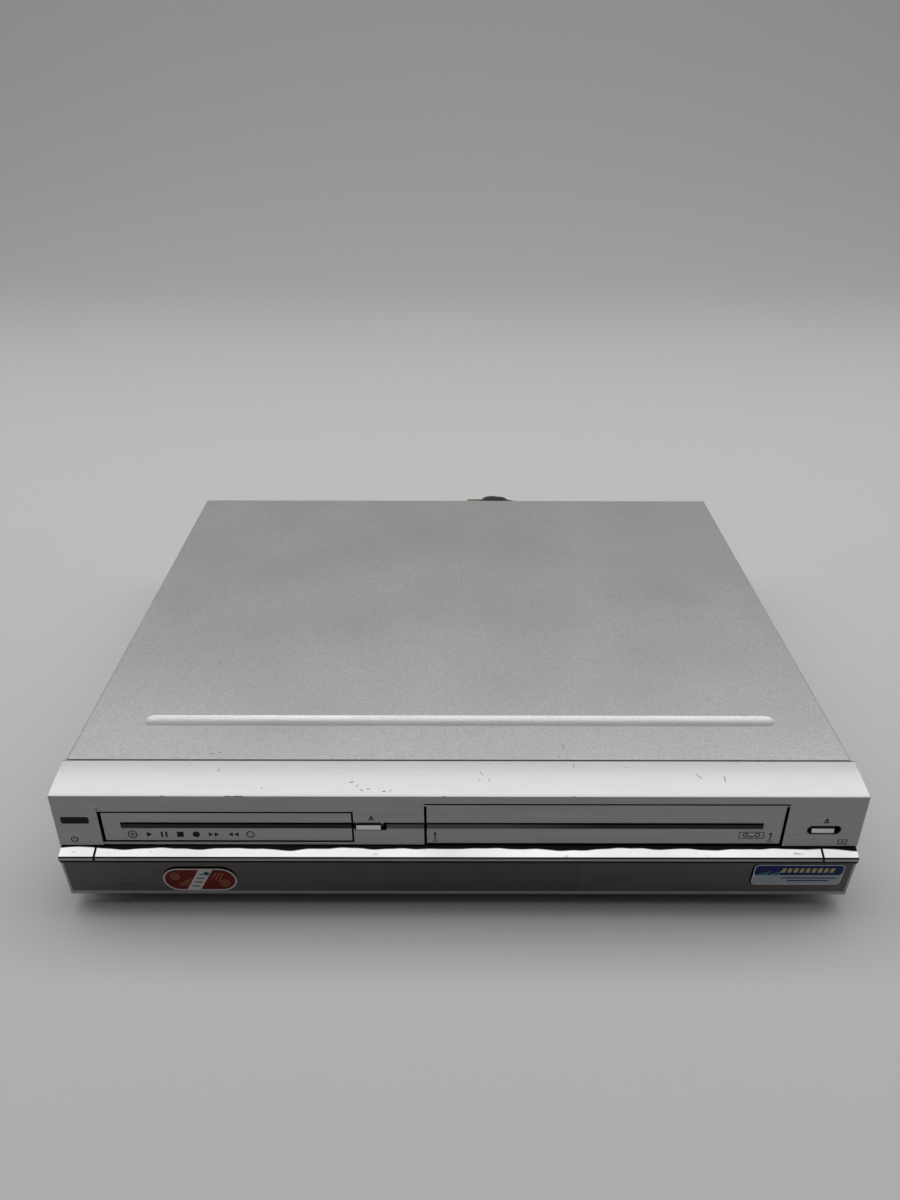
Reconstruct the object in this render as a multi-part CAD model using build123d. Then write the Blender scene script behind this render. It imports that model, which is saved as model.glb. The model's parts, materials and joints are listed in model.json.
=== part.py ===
from build123d import *
import math
import os

os.makedirs("parts", exist_ok=True)

# Disc and tape combo player. Millimetres. X runs across the front (+X to the viewer's right),
# Y from the front to the back, Z up from the floor. The origin is under the middle of the case.

# ------------------------------------------------------------------ driving dimensions
# case
lid_step = 0.6           # how far the cover stands back from each end of the panel
case_depth = 354.0       # door face to the back edge of the cover
nose_proud = 1.0         # chrome nose ahead of the door face
jack_proud = 7.0         # rear jacks behind the cover
foot_h = 8.7             # floor to the underside of the case
body_h = 69.8            # underside of the case to the top of the cover
lid_setback = 32.2       # door face to the front edge of the cover
sheet = 1.0              # steel of pan, rear panel and deck
lid_t = 0.8              # steel of the cover
wall = 2.5               # moulded wall of the bezel
seam = 0.3               # gap between neighbouring panels
touch_gap = 0.3          # least gap between bodies that pass each other
run_fit = 0.06           # radial clearance of a pin that turns in its bore

# front panel, heights above the underside of the case
bevel_run = 23.9         # curved bevel, front to back
bevel_drop = 3.4         # and how far it falls
bevel_lead = 0.07        # slope of its back edge; it steepens from there
face_foot_h = 33.35      # lower edge of the leaning face
face_lean_run = 3.3      # how far its foot stands ahead of its top
inset = 0.6              # shallow step of the field that holds tray and flap
inset_top_h = 60.5
inset_corner_r = 3.0
groove_h = (44.3, 48.5)  # level groove across tray, face and flap
groove_depth = 1.2
groove_end_in = 10.4     # where the groove starts and stops inside the field

# front openings
tray_margin = 25.1       # panel end to the tray front
tray_overhang = 2.3      # tray front past each side of the disc tray
middle_w = 40.1          # tray front to the flap
tray_front_h = (36.0, 54.7)
tray_front_t = 3.0
tray_gap = 1.0
flap_w = 190.1
flap_margin = 42.1       # flap to the other panel end, which completes the 430 mm panel
flap_h = (33.9, 60.7)
flap_t = 2.2
flap_gap = 1.4

# drop-down door
door_h = 26.0
door_t = 5.0
door_rim = (1.3, 2.4, 0.7)   # side, bottom and top rim round the lens
lens_t = 1.6
door_window_in = 9.0         # the through window stands this far inside the lens
hinge_pin_r = 1.0
hinge_in = 25.0              # door hinge, in from the panel end
hinge_rise = 2.3             # its axis above the underside of the case
hinge_back = 7.0             # and behind the door face

# chrome bar
trim_band_h = (26.4, 28.2)
trim_nose_h = (28.6, 29.2)
trim_back_in = 2.4           # its upper edge behind the foot of the face
end_button_w = 18.8
button_travel = 1.0
key_travel = 0.8
stop_gap = 0.2               # left over behind a button or key at the end of its travel

# disc loader
tray_w = 128.0
tray_len = 183.0
tray_h = (38.8, 45.8)
disc_r = 61.0
small_disc_r = 41.0
disc_back = 78.0             # disc centre behind the lower wall
tray_travel = 140.0
tooth_module = 1.5
gear_teeth = 14
tooth_play = 0.25
rack_over = 14.0             # rack left on each side of the gear at both ends of the travel
slot_half = 19.0
traverse_tilt_back = 106.0   # turntable ahead of the traverse hinge
sled_ahead = 18.5            # resting pickup sled behind the disc centre
sled_len = 32.5
sled_travel = 34.0

# tape deck
deck_half = 98.0
deck_to_board = 6.0          # deck plate to the main board behind it
deck_h = 11.3
basket_in = 70.0
basket_down = 18.0
reel_spacing = 92.0
reel_r = 16.0
drum_r = 31.0
guide_orbit_r = 40.0
guide_swing = 100.0
pinch_swing = 25.0

# electronics
board_h = 9.3
board_t = 1.6
board_margin = 7.0           # main board to the panel end
board_past_deck = 24.85      # and past the deck on the other side
strip_len = 39.0             # main board behind the deck, front to back
strip_back = 5.2             # its back edge ahead of the rear panel
power_gap = 17.0             # power board beside the main board
fan_size = 40.0
fan_in = 20.0                # fan, jacks and antenna sockets, in from the main board's ends
jacks_in = 69.0
antenna_in = 20.0
antenna_pitch = 20.0
jack_pitch = (18.0, 13.0)
jack_rows = 3
jack_columns = 5
jack_r = 4.1

# feet and screws
foot_r = 14.0
foot_at = (180.0, 55.0, 29.0)    # from the middle, from the front, from the back
screw_r = 1.6
screw_head_r = 4.0

# mains cord
cord_d = 6.0
exit_x = -85.0
exit_h = 17.3
relief_len = 25.0
coil_centre = (69.0, 266.0)
coil_r = 43.0
coil_pitch = 6.6
coil_turns = 3                   # turns in each of the two layers
tail_r = 30.0
plug_size = (24.0, 22.0, 15.0)
plug_neck = 11.0
blade_size = (16.0, 1.5, 6.4)
blade_spacing = 12.7

# ------------------------------------------------------------------ worked out from them
tray_front_w = tray_w + 2 * tray_overhang
half_w = (tray_margin + tray_front_w + middle_w + flap_w + flap_margin) / 2
lid_half = half_w - lid_step
front_y = -(nose_proud + case_depth + jack_proud) / 2
door_y = front_y + nose_proud
lid_back = door_y + case_depth
jack_tip = lid_back + jack_proud
lid_front = door_y + lid_setback
base = foot_h
lid_top = base + body_h
pan_top = base + sheet

seam_y = lid_front - seam
face_top = (lid_front - bevel_run, lid_top - bevel_drop)
face_foot = (face_top[0] - face_lean_run, base + face_foot_h)
lean = math.degrees(math.atan2(face_lean_run, face_top[1] - face_foot[1]))
lean_cos = math.cos(math.radians(lean))
face_plane = Plane(origin=(0, face_top[0], face_top[1]), x_dir=(1, 0, 0),
                   z_dir=(0, -lean_cos, math.sin(math.radians(lean))))

wall_y = face_foot[0] + 5.0              # front of the lower wall, behind the door
inner_y = wall_y + wall
panel_y = lid_back - lid_t - sheet       # inner face of the rear panel

tray_x = (-half_w + tray_margin, -half_w + tray_margin + tray_front_w)
tray_z = (base + tray_front_h[0], base + tray_front_h[1])
flap_x = (half_w - flap_margin - flap_w, half_w - flap_margin)
flap_z = (base + flap_h[0], base + flap_h[1])
groove_z = (base + groove_h[0], base + groove_h[1])
disc_x = (tray_x[0] + tray_x[1]) / 2
deck_x = (flap_x[0] + flap_x[1]) / 2


# ------------------------------------------------------------------ small helpers
def slab(xs, ys, zs):
    """A box given by its two ends along each axis."""
    middle = [(a + b) / 2 for a, b in (xs, ys, zs)]
    return Pos(*middle) * Box(*[abs(b - a) for a, b in (xs, ys, zs)])


def post(x, y, r, zs):
    """An upright cylinder."""
    return Pos(x, y, (zs[0] + zs[1]) / 2) * Cylinder(r, zs[1] - zs[0])


def rod_y(x, z, r, ys):
    """A cylinder that lies front to back."""
    return Pos(x, (ys[0] + ys[1]) / 2, z) * Rot(90, 0, 0) * Cylinder(r, ys[1] - ys[0])


def rod_x(y, z, r, xs):
    """A cylinder that lies side to side."""
    return Pos((xs[0] + xs[1]) / 2, y, z) * Rot(0, 90, 0) * Cylinder(r, xs[1] - xs[0])


def across(xs, outline):
    """A side profile, given as a curve in (Y, Z), run from one X to another."""
    return extrude(Plane.YZ.offset(xs[0]) * make_face(outline), xs[1] - xs[0])


def ring(*points):
    """A closed polygon."""
    return Polyline(*points, close=True)


def on_face(z):
    """Height of a level measured along the leaning face."""
    return (z - face_top[1]) / lean_cos


def face_block(xs, zs, depths):
    """A box that lies along the leaning face; depth is negative into the panel."""
    return face_plane * slab(xs, (on_face(zs[0]), on_face(zs[1])), depths)


def face_run(xs, outline):
    """A profile of (level, depth) points run across the leaning face."""
    points = [(on_face(z), depth) for z, depth in outline]
    return face_plane * across(xs, ring(*points))


def mirror_x(shape):
    return mirror(shape, about=Plane.YZ)


def both_sides(shape):
    return shape + mirror_x(shape)


def about_x(centre, shape):
    """The shape and its twin on the other side of a centre line."""
    return shape + Pos(2 * centre, 0, 0) * mirror_x(shape)


# ------------------------------------------------------------------ case
bead_x = (-180.2, 182.1)
bead_y = (lid_front + 28.2, lid_front + 37.4)
bead_depth = 0.7
rear_lip = 8.0
vent_size = (2.6, 20.0)
vent_pitch = 7.0
vents_each_row = 16
vent_rows = (base + 20, base + 44)
vents_from_back = 40.0
floor_slot = (3.0, 50.0)
floor_slots = 9
grille_slot_w = 2.8
grille_pitch = 4.8
rear_vents = 12
screw_level = base + 11.5
side_screws = (lid_front + 48.0, lid_back - 44.0)
rear_screw_x = (-150.0, 0.0, 150.0)


def bead_shape(grow):
    """A round bar with ball ends that sinks into the lid as deep as the pressed bead."""
    half_width = (bead_y[1] - bead_y[0]) / 2
    r = (half_width ** 2 + bead_depth ** 2) / (2 * bead_depth)
    y, z = bead_y[0] + half_width, lid_top - bead_depth + r
    ends = (bead_x[0] + half_width, bead_x[1] - half_width)
    bar = rod_x(y, z, r + grow, ends)
    return bar + [Pos(x, y, z) * Sphere(r + grow) for x in ends]


def make_top_cover():
    skirt = base + 2.3
    outer = slab((-lid_half, lid_half), (lid_front, lid_back), (skirt, lid_top))
    outer = fillet(outer.edges().filter_by(Axis.Y).group_by(Axis.Z)[-1], 2.0)
    inner_half = lid_half - lid_t
    hollow = slab((-inner_half, inner_half), (lid_front - 1, lid_back + 1), (skirt - 1, lid_top - lid_t))
    cover = outer - hollow
    lip_y = (lid_back - lid_t, lid_back)
    cover += slab((-inner_half, inner_half), lip_y, (lid_top - lid_t - rear_lip, lid_top - lid_t))
    under_lid = slab((-inner_half, inner_half), (lid_front, lid_back),
                     (lid_top - lid_t - bead_depth, lid_top - lid_t))
    cover += bead_shape(lid_t) & under_lid
    cover -= bead_shape(0)
    first = lid_back - vents_from_back - vent_pitch * (vents_each_row - 1)
    for row in vent_rows:
        for i in range(vents_each_row):
            y = first + vent_pitch * i
            cover -= slab((-half_w, half_w), (y - vent_size[0] / 2, y + vent_size[0] / 2),
                          (row, row + vent_size[1]))
    for y in side_screws:
        cover -= rod_x(y, screw_level, screw_r, (-half_w, half_w))
    for x in rear_screw_x:
        cover -= rod_y(x, lid_top - 5, screw_r, (lid_back - 2, lid_back + 1))
    return cover


def make_case_screws():
    screws = []
    for side in (-1, 1):
        for y in side_screws:
            head = rod_x(y, screw_level, screw_head_r, (lid_half, lid_half + 0.55))
            shank = rod_x(y, screw_level, screw_r, (lid_half - 6, lid_half))
            screw = head + shank
            screws.append(screw if side > 0 else mirror_x(screw))
    for x in rear_screw_x:
        head = rod_y(x, lid_top - 5, screw_head_r, (lid_back, lid_back + 1.2))
        screws.append(head + rod_y(x, lid_top - 5, screw_r, (lid_back - 7, lid_back)))
    return Compound(children=screws)


def make_chassis_pan():
    half = lid_half - lid_t - 0.2
    pan_back = panel_y + sheet
    pan = slab((-half, half), (bezel_back, pan_back), (base, pan_top))
    flange_z = (pan_top, base + 21)
    pan += both_sides(slab((half - sheet, half), (bezel_back, panel_y), flange_z))
    for y in side_screws:
        pan -= rod_x(y, screw_level, screw_r, (-half_w, half_w))
    for x, y in board_posts + power_posts:
        pan += post(x, y, 3.0, (pan_top, base + board_h))
    slot_back = panel_y - 52.0
    for i in range(floor_slots):
        x = -lid_half + 64.4 + 10 * i
        pan -= slab((x - floor_slot[0] / 2, x + floor_slot[0] / 2), (slot_back - floor_slot[1], slot_back),
                    (base - 1, pan_top + 1))
    return pan


def make_rear_panel():
    half = lid_half - lid_t - 0.2
    panel = slab((-half, half), (panel_y, panel_y + sheet), (pan_top, lid_top - lid_t - touch_gap))
    cut = (panel_y - 1, panel_y + sheet + 1)
    for x, z in jack_places():
        panel -= rod_y(x, z, jack_r + 0.5, cut)
    for x in antenna_x:
        panel -= rod_y(x, antenna_z, antenna_r + 0.5, cut)
    panel -= rod_y(exit_x, base + exit_h, relief_r + 0.2, cut)
    for i in range(-3, 4):
        x = fan_at[0] + grille_pitch * i
        reach = math.sqrt(fan_bore_r ** 2 - (grille_pitch * i) ** 2)
        panel -= slab((x - grille_slot_w / 2, x + grille_slot_w / 2), cut,
                      (fan_at[1] - reach, fan_at[1] + reach))
    for i in range(rear_vents):
        x = -half_w + 20 + vent_pitch * i
        panel -= slab((x - vent_size[0] / 2, x + vent_size[0] / 2), cut,
                      (base + 36, base + 36 + vent_size[1]))
    for x in rear_screw_x:
        panel -= rod_y(x, lid_top - 5, screw_r, cut)
    return panel


def make_feet():
    ys = (front_y + foot_at[1], jack_tip - foot_at[2])
    feet = []
    for x in (-foot_at[0], foot_at[0]):
        for y in ys:
            foot = post(x, y, foot_r, (0, foot_h))
            feet.append(chamfer(foot.edges().group_by(Axis.Z)[0], 2.0))
    return Compound(children=feet)


# ------------------------------------------------------------------ front panel
bezel_back = seam_y
control_window_in = 12.0
window_z = (base + 6.3, base + 22.8)
oc_pocket_x = (tray_x[1] + tray_gap + 0.6, tray_x[1] + 18.5)
oc_pocket_z = (base + 43.3, base + 48.6)
oc_button_x = (tray_x[1] + 2.4, tray_x[1] + 15.4)
oc_button_z = (base + 43.6, base + 48.2)
eject_pocket_x = (flap_x[1] + 13.0, flap_x[1] + 31.3)
eject_pocket_z = (base + 41.4, base + 47.3)
eject_button_x = (flap_x[1] + 16.1, flap_x[1] + 28.1)
eject_button_z = (base + 41.8, base + 46.6)
flap_axis = (face_top[0] + 1.0, flap_z[1] - 1.2)
hinge_axis = (door_y + hinge_back, base + hinge_rise)
end_stem_x = half_w - 9.0
stem_r = 2.0
stem_end = inner_y + 0.3
stem_room = 0.4
button_room = button_travel + 0.6        # end buttons ahead of the wall behind them
end_stem_z = base + 29.8


def groove_cut(xs):
    floor = -inset - groove_depth
    return face_run(xs, ((groove_z[0], 1.0), (groove_z[0], -inset), (groove_z[0] + 0.5, floor),
                         (groove_z[1] - 0.2, floor), (groove_z[1], -inset), (groove_z[1], 1.0)))


def case_front(xs, inner):
    """The bezel's side profile: as a shell, or filled for the end caps."""
    bevel = TangentArc((seam_y, lid_top), face_top, tangent=(-1, -bevel_lead))
    corners = [face_top, face_foot, (wall_y, face_foot[1]), (wall_y, base), (bezel_back, base)]
    if inner:
        corners += [(bezel_back, base + wall), (inner_y, base + wall), (inner_y, face_foot[1] + wall),
                    (face_foot[0] + wall, face_foot[1] + wall), (face_top[0] + wall, face_top[1] - wall),
                    (seam_y, lid_top - wall)]
    corners.append((seam_y, lid_top))
    return across(xs, bevel + Polyline(*corners))


def inset_field():
    """Cutter of the shallow field round the tray and the flap."""
    top, bottom = on_face(base + inset_top_h), on_face(face_foot[1] - 1)
    field = slab((tray_x[0] - tray_gap - 0.6, flap_x[1] + flap_gap), (bottom, top), (-inset, 2))
    corners = field.edges().filter_by(Axis.Z).group_by(Axis.X)[0].sort_by(Axis.Y)[-1]
    return face_plane * fillet(corners, inset_corner_r)


def obround_cut(xs, zs):
    width, height = xs[1] - xs[0], zs[1] - zs[0]
    middle = ((xs[0] + xs[1]) / 2, on_face((zs[0] + zs[1]) / 2), -inset - 6)
    return face_plane * extrude(Pos(*middle) * SlotOverall(width, height), 9)


def make_front_bezel():
    bezel = case_front((-half_w, half_w), True)
    bezel += both_sides(case_front((half_w - wall, half_w), False))
    for x in (flap_x[0] - flap_gap, flap_x[1] + flap_gap):
        bezel += slab((x - 4, x + 4), (flap_axis[0] - 0.6, flap_axis[0] + 3.2),
                      (flap_axis[1] - 3, flap_axis[1] + 3))
    bezel -= inset_field()
    bezel -= groove_cut((tray_x[1], flap_x[0]))
    through = (-inset - 9, 2)
    tray_hole_x = (tray_x[0] - tray_gap - 0.6, tray_x[1] + tray_gap)
    bezel -= face_block(tray_hole_x, (tray_z[0] - tray_gap, tray_z[1] + tray_gap), through)
    flap_hole_x = (flap_x[0] - flap_gap, flap_x[1] + flap_gap)
    bezel -= slab(flap_hole_x, (front_y, inner_y + 3), (face_foot[1] - 0.45, flap_z[1] + tray_gap))
    bezel -= face_block(oc_pocket_x, oc_pocket_z, through)
    bezel -= obround_cut(eject_pocket_x, eject_pocket_z)
    bezel -= rod_x(flap_axis[0], flap_axis[1], hinge_pin_r + run_fit,
                   (flap_x[0] - flap_gap - 3, flap_x[1] + flap_gap + 3))
    window_half = half_w - control_window_in - 6
    bezel -= slab((-window_half, window_half), (wall_y - 1, inner_y + 1), (window_z[0], window_z[1]))
    for side in (-1, 1):
        bezel -= rod_y(side * end_stem_x, end_stem_z, stem_r + stem_room, (wall_y - 1, inner_y + 1))
    bezel += door_ears()
    return bezel


def door_ears():
    """Two ears on each side of each door lug, with the bore of the hinge pin."""
    middle = half_w - hinge_in
    ears = None
    for start in (middle - 4.5, middle + 2.3):
        ear = rod_x(hinge_axis[0], hinge_axis[1], hinge_pin_r + 0.7, (start, start + 2.2))
        ear += slab((start, start + 2.2), (hinge_axis[0], wall_y), (hinge_axis[1] - 1.2, hinge_axis[1] + 1.7))
        ear -= rod_x(hinge_axis[0], hinge_axis[1], hinge_pin_r + run_fit, (start - 1, start + 4))
        ears = ear if ears is None else ears + ear
    return both_sides(ears)


def trim_profile(back):
    top = (face_foot[0] + trim_back_in, face_foot[1] - 0.45)
    slope_foot = (front_y + 0.5, base + trim_nose_h[1] + 0.35)
    return ring(top, slope_foot, (front_y, base + trim_nose_h[1]), (front_y, base + trim_nose_h[0]),
                (front_y + 0.9, base + trim_nose_h[0]), (front_y + 0.9, base + trim_band_h[1]),
                (front_y + 0.3, base + trim_band_h[1]), (front_y + 0.3, base + trim_band_h[0]),
                (back, base + trim_band_h[0]), (back, face_foot[1] - 0.45))


def make_chrome_trim():
    end = half_w - end_button_w - seam
    return across((-end, end), trim_profile(wall_y))


def make_end_button(side):
    cap = across((half_w - end_button_w, half_w), trim_profile(wall_y - button_room))
    stem = rod_y(end_stem_x, end_stem_z, stem_r, (wall_y - button_room - 0.6, stem_end))
    button = cap + stem
    return button if side > 0 else mirror_x(button)


def lip_button(xs, zs):
    """A small button whose face falls back above a bright lower lip."""
    body = face_run(xs, ((zs[0], -inset - 0.1), (zs[0], -4.2), (zs[1], -4.2), (zs[1], -2.6),
                         (zs[0] + 2.1, -inset - 0.6)))
    flange = face_block((xs[0] - 0.6, xs[1] + 1.6), (zs[0] - 1.4, zs[1] + 1.4), (-4.4, -wall - inset - 0.4))
    stem_x, stem_z = (xs[0] + xs[1]) / 2, (zs[0] + zs[1]) / 2
    stem = rod_y(stem_x, stem_z, 1.8, (inner_y - 3.0, stem_end))
    return body + flange + stem


def make_door_frame():
    half = half_w - 0.2
    zs = (base, base + door_h)
    frame = slab((-half, half), (door_y, door_y + door_t), zs)
    frame -= lens_block(0.0)
    lens_half = half - door_rim[0]
    window_half = lens_half - door_window_in
    frame -= slab((-window_half, window_half), (door_y - 1, door_y + door_t + 1),
                  (zs[0] + door_rim[1] + 2.0, zs[1] - door_rim[2] - 2.6))
    lug_x = (half_w - hinge_in - 1.9, half_w - hinge_in + 1.9)
    lug = rod_x(hinge_axis[0], hinge_axis[1], hinge_pin_r + 0.7, lug_x)
    lug += slab(lug_x, (door_y + door_t - 0.5, hinge_axis[0]), (hinge_axis[1] - 1.7, hinge_axis[1] + 1.7))
    lug += rod_x(hinge_axis[0], hinge_axis[1], hinge_pin_r, (lug_x[0] - 2.4, lug_x[1] + 2.4))
    return frame + both_sides(lug)


def lens_block(shrink):
    half = half_w - 0.2 - door_rim[0] - shrink
    zs = (base + door_rim[1] + shrink, base + door_h - door_rim[2] - shrink)
    return slab((-half, half), (door_y, door_y + lens_t), zs)


def make_door_lens():
    return lens_block(0.05)


def make_cassette_flap():
    flap = face_block(flap_x, flap_z, (-inset - flap_t, -inset))
    low = flap.edges().filter_by(Axis.X).group_by(Axis.Z)[:2]
    flap = fillet([edge for group in low for edge in group], 0.9)
    flap -= groove_cut((flap_x[0] - 1, flap_x[1] - groove_end_in))
    for start, reach in ((flap_x[0], -flap_gap - 2.2), (flap_x[1], flap_gap + 2.2)):
        xs = sorted((start - math.copysign(0.6, reach), start + reach))
        flap += rod_x(flap_axis[0], flap_axis[1], hinge_pin_r, xs)
    return flap


def make_tray_front():
    front = face_block(tray_x, tray_z, (-inset - tray_front_t, -inset))
    front = fillet(front.edges().filter_by(Axis.X), 0.4)
    return front - groove_cut((tray_x[0] + groove_end_in - 1, tray_x[1] + 1))


# ------------------------------------------------------------------ controls behind the door
key_at = ((-84.0, 8.0), (-64.0, 8.0), (84.8, 20.0), (106.0, 8.0))    # centre and length
key_h = 5.0
key_z = base + 13.3
display_x = (-40.4, 66.0)
display_z = (base + 7.0, base + 22.0)
front_jack_x = (124.0, 138.0, 152.0)
board_front = stem_end + button_travel + stop_gap


def key_cap(place, grow, ys):
    x, length = place
    plan = Pos(x, ys[0], key_z) * Rot(-90, 0, 0) * SlotOverall(length + 2 * grow, key_h + 2 * grow)
    return extrude(plan, ys[1] - ys[0])


def make_control_panel():
    ys = (wall_y - 2.0, wall_y)
    half = half_w - control_window_in
    panel = slab((-half, half), ys, (base + 5.0, base + 24.5))
    cut = (ys[0] - 1, ys[1] + 1)
    panel -= slab((display_x[0], display_x[1]), cut, (display_z[0] + 1, display_z[1] - 1))
    for place in key_at:
        panel -= key_cap(place, touch_gap, cut)
    for x in front_jack_x:
        panel -= rod_y(x, key_z, jack_r + touch_gap, cut)
    return panel


def make_key(place):
    front = wall_y - 3.2
    key = key_cap(place, 0, (front, wall_y + 0.4))
    key = fillet(key.edges().group_by(Axis.Y)[0], 0.5)
    key += key_cap(place, 1.0, (wall_y + 0.4, wall_y + 1.4))
    return key + rod_y(place[0], key_z, 1.5, (wall_y + 1.4, board_front - key_travel - stop_gap))


def make_display_tube():
    tube = slab((display_x[0] + 1, display_x[1] - 1), (wall_y + 0.3, board_front), display_z)
    return fillet(tube.edges().filter_by(Axis.Y), 1.0)


def make_front_board():
    ys = (board_front, board_front + board_t)
    half = half_w - wall - 3.5
    board = slab((-half, half), ys, (base + 4.3, base + 31.3))
    for xs in ((oc_pocket_x[0] + 8, oc_pocket_x[1] + 8), (eject_pocket_x[0] - 2, half)):
        board += slab(xs, ys, (base + 31.3, base + 51))
    return board


def make_front_jacks():
    jacks = []
    for x in front_jack_x:
        jack = rod_y(x, key_z, jack_r, (wall_y - 4.4, board_front))
        jacks.append(jack - rod_y(x, key_z, 1.7, (wall_y - 5, wall_y + 2)))
    return Compound(children=jacks)


# ------------------------------------------------------------------ disc loader
loader_front = inner_y + 9.5
loader_back = loader_front + 188.0
tray_y = (wall_y - 1.0, wall_y - 1.0 + tray_len)
tray_level = (base + tray_h[0], base + tray_h[1])
disc_y = wall_y + disc_back
seat_z = tray_level[0] + 4.0
frame_in = tray_w / 2 + 2.4
frame_out = frame_in + 2.0
loader_floor = (base + 15.3, base + 17.3)
pitch_r = tooth_module * gear_teeth / 2
rack_line_x = disc_x - tray_w / 2 + 9.6
gear_at = (rack_line_x + pitch_r, loader_front + 13.0)
rack_z = (tray_level[0] - 3.0, tray_level[0])
traverse_hinge = (disc_y + traverse_tilt_back, base + 26.3)
traverse_z = (traverse_hinge[1] - 1.0, traverse_hinge[1] + 1.0)
traverse_half = 36.0
rod_level = base + 29.3
rod_spread = 21.0
rod_r = 1.5
sled_y = (disc_y + sled_ahead, disc_y + sled_ahead + sled_len)
rod_post_y = (sled_y[0] - 4.0, sled_y[1] + sled_travel + 9.5)
bridge_z = (base + 48.3, base + 49.8)
pressure_angle = math.radians(20)


def tooth_half(r):
    """Half thickness, as an angle, of an involute gear tooth at a radius."""
    def roll(radius):
        angle = math.acos(min(1.0, pitch_r * math.cos(pressure_angle) / radius))
        return math.tan(angle) - angle
    at_pitch = math.pi / (2 * gear_teeth) - tooth_play / (2 * pitch_r)
    return at_pitch + roll(pitch_r) - roll(r)


def make_tray_gear():
    root_r, base_r = pitch_r - 1.9, pitch_r * math.cos(pressure_angle)
    tip_r = pitch_r + tooth_module
    flank = [base_r + (tip_r - base_r) * i / 4 for i in range(5)]
    points = []
    for tooth in range(gear_teeth):
        middle = math.pi + 2 * math.pi * tooth / gear_teeth
        side = [(root_r, tooth_half(base_r))] + [(r, tooth_half(r)) for r in flank]
        for r, half in side:
            points.append((r * math.cos(middle - half), r * math.sin(middle - half)))
        for r, half in reversed(side):
            points.append((r * math.cos(middle + half), r * math.sin(middle + half)))
    zs = (rack_z[0] + touch_gap, rack_z[1] - touch_gap)
    gear = extrude(Pos(gear_at[0], gear_at[1], zs[0]) * make_face(ring(*points)), zs[1] - zs[0])
    gear += post(gear_at[0], gear_at[1], 5.0, (zs[0] - 3, zs[0]))
    return gear - post(gear_at[0], gear_at[1], rod_r + run_fit, (zs[0] - 4, zs[1] + 1))


def make_rack():
    pitch = math.pi * tooth_module
    rack_y = (gear_at[1] - rack_over, gear_at[1] + tray_travel + rack_over)
    root_x = rack_line_x - 1.9
    rack = slab((root_x - 4.6, root_x), rack_y, rack_z)
    tip, slope = 1.2, math.tan(pressure_angle)
    half = (pitch - tooth_play) / 2 / 2
    wide, narrow = half + 1.9 * slope, half - tip * slope
    first = math.ceil((rack_y[0] + wide - gear_at[1]) / pitch - 0.5)
    last = math.floor((rack_y[1] - wide - gear_at[1]) / pitch - 0.5)
    teeth = []
    for i in range(first, last + 1):
        y = gear_at[1] + (i + 0.5) * pitch
        teeth.append(make_face(ring((root_x - 0.2, y - wide), (rack_line_x + tip, y - narrow),
                                    (rack_line_x + tip, y + narrow), (root_x - 0.2, y + wide))))
    return rack + [extrude(Pos(0, 0, rack_z[0]) * tooth, rack_z[1] - rack_z[0]) for tooth in teeth]


def make_disc_tray():
    half = tray_w / 2
    tray = slab((disc_x - half, disc_x + half), tray_y, tray_level)
    tray = fillet(tray.edges().filter_by(Axis.Z).group_by(Axis.Y)[-1], 6.0)
    above = tray_level[1] + 1
    tray -= post(disc_x, disc_y, disc_r, (seat_z, above))
    tray -= post(disc_x, disc_y, small_disc_r, (seat_z - 1.0, above))
    tray -= post(disc_x, disc_y, slot_half, (tray_level[0] - 1, above))
    slot_y = (disc_y, tray_y[1] + 1)
    tray -= slab((disc_x - slot_half, disc_x + slot_half), slot_y, (tray_level[0] - 1, above))
    finger_y = (disc_y + disc_r - 8, disc_y + disc_r + 16)
    for side in (-1, 1):
        finger_x = disc_x + side * 40
        tray -= slab((finger_x - 12, finger_x + 12), finger_y, (seat_z, above))
    tray += make_rack()
    return tray - face_block((tray_x[0] - 1, tray_x[1] + 1), (tray_z[0] - 2, tray_z[1] + 2), (-inset - 3, 5))


def make_loader_frame():
    xs = (disc_x - frame_out, disc_x + frame_out)
    frame = slab(xs, (loader_front, loader_back), loader_floor)
    opening = traverse_half - 2
    frame -= slab((disc_x - opening, disc_x + opening), (disc_y - 26, traverse_hinge[0] - 14),
                  (loader_floor[0] - 1, loader_floor[1] + 1))
    side = slab((disc_x + frame_in, disc_x + frame_out), (loader_front, loader_back),
                (loader_floor[1], bridge_z[0]))
    ledge_x = (disc_x + tray_w / 2 - 2.0, disc_x + frame_in)
    side += slab(ledge_x, (loader_front, loader_back), (tray_level[0] - 2.3, tray_level[0] - touch_gap))
    side += slab(ledge_x, (loader_front + 30, loader_back), (tray_level[1] + 0.4, tray_level[1] + 2))
    for y in (loader_front + 22, loader_back - 8):
        side += post(disc_x + frame_in - 6, y, 4.0, (pan_top, loader_floor[0]))
    ear_y = (traverse_hinge[0] - 4, traverse_hinge[0] + 4)
    ear = slab((disc_x + traverse_half + 0.4, disc_x + traverse_half + 4), ear_y,
               (loader_floor[1], traverse_hinge[1] + 4))
    side += ear - rod_x(traverse_hinge[0], traverse_hinge[1], 2 + run_fit,
                        (disc_x + traverse_half, disc_x + traverse_half + 5))
    frame += about_x(disc_x, side)
    frame += slab(xs, (loader_back - 2, loader_back), (loader_floor[1], tray_level[0] - 1))
    frame += post(gear_at[0], gear_at[1], rod_r, (loader_floor[1], rack_z[1] - 0.6))
    return frame + post(gear_at[0], gear_at[1], 4.0, (loader_floor[1], rack_z[0] - 3.1))


def make_loading_motor():
    x, y = disc_x + 30, loader_front + 16
    motor = post(x, y, 12.0, (loader_floor[1], loader_floor[1] + 15))
    return motor + post(x, y, 3.0, (loader_floor[1] + 15, loader_floor[1] + 18))


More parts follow.
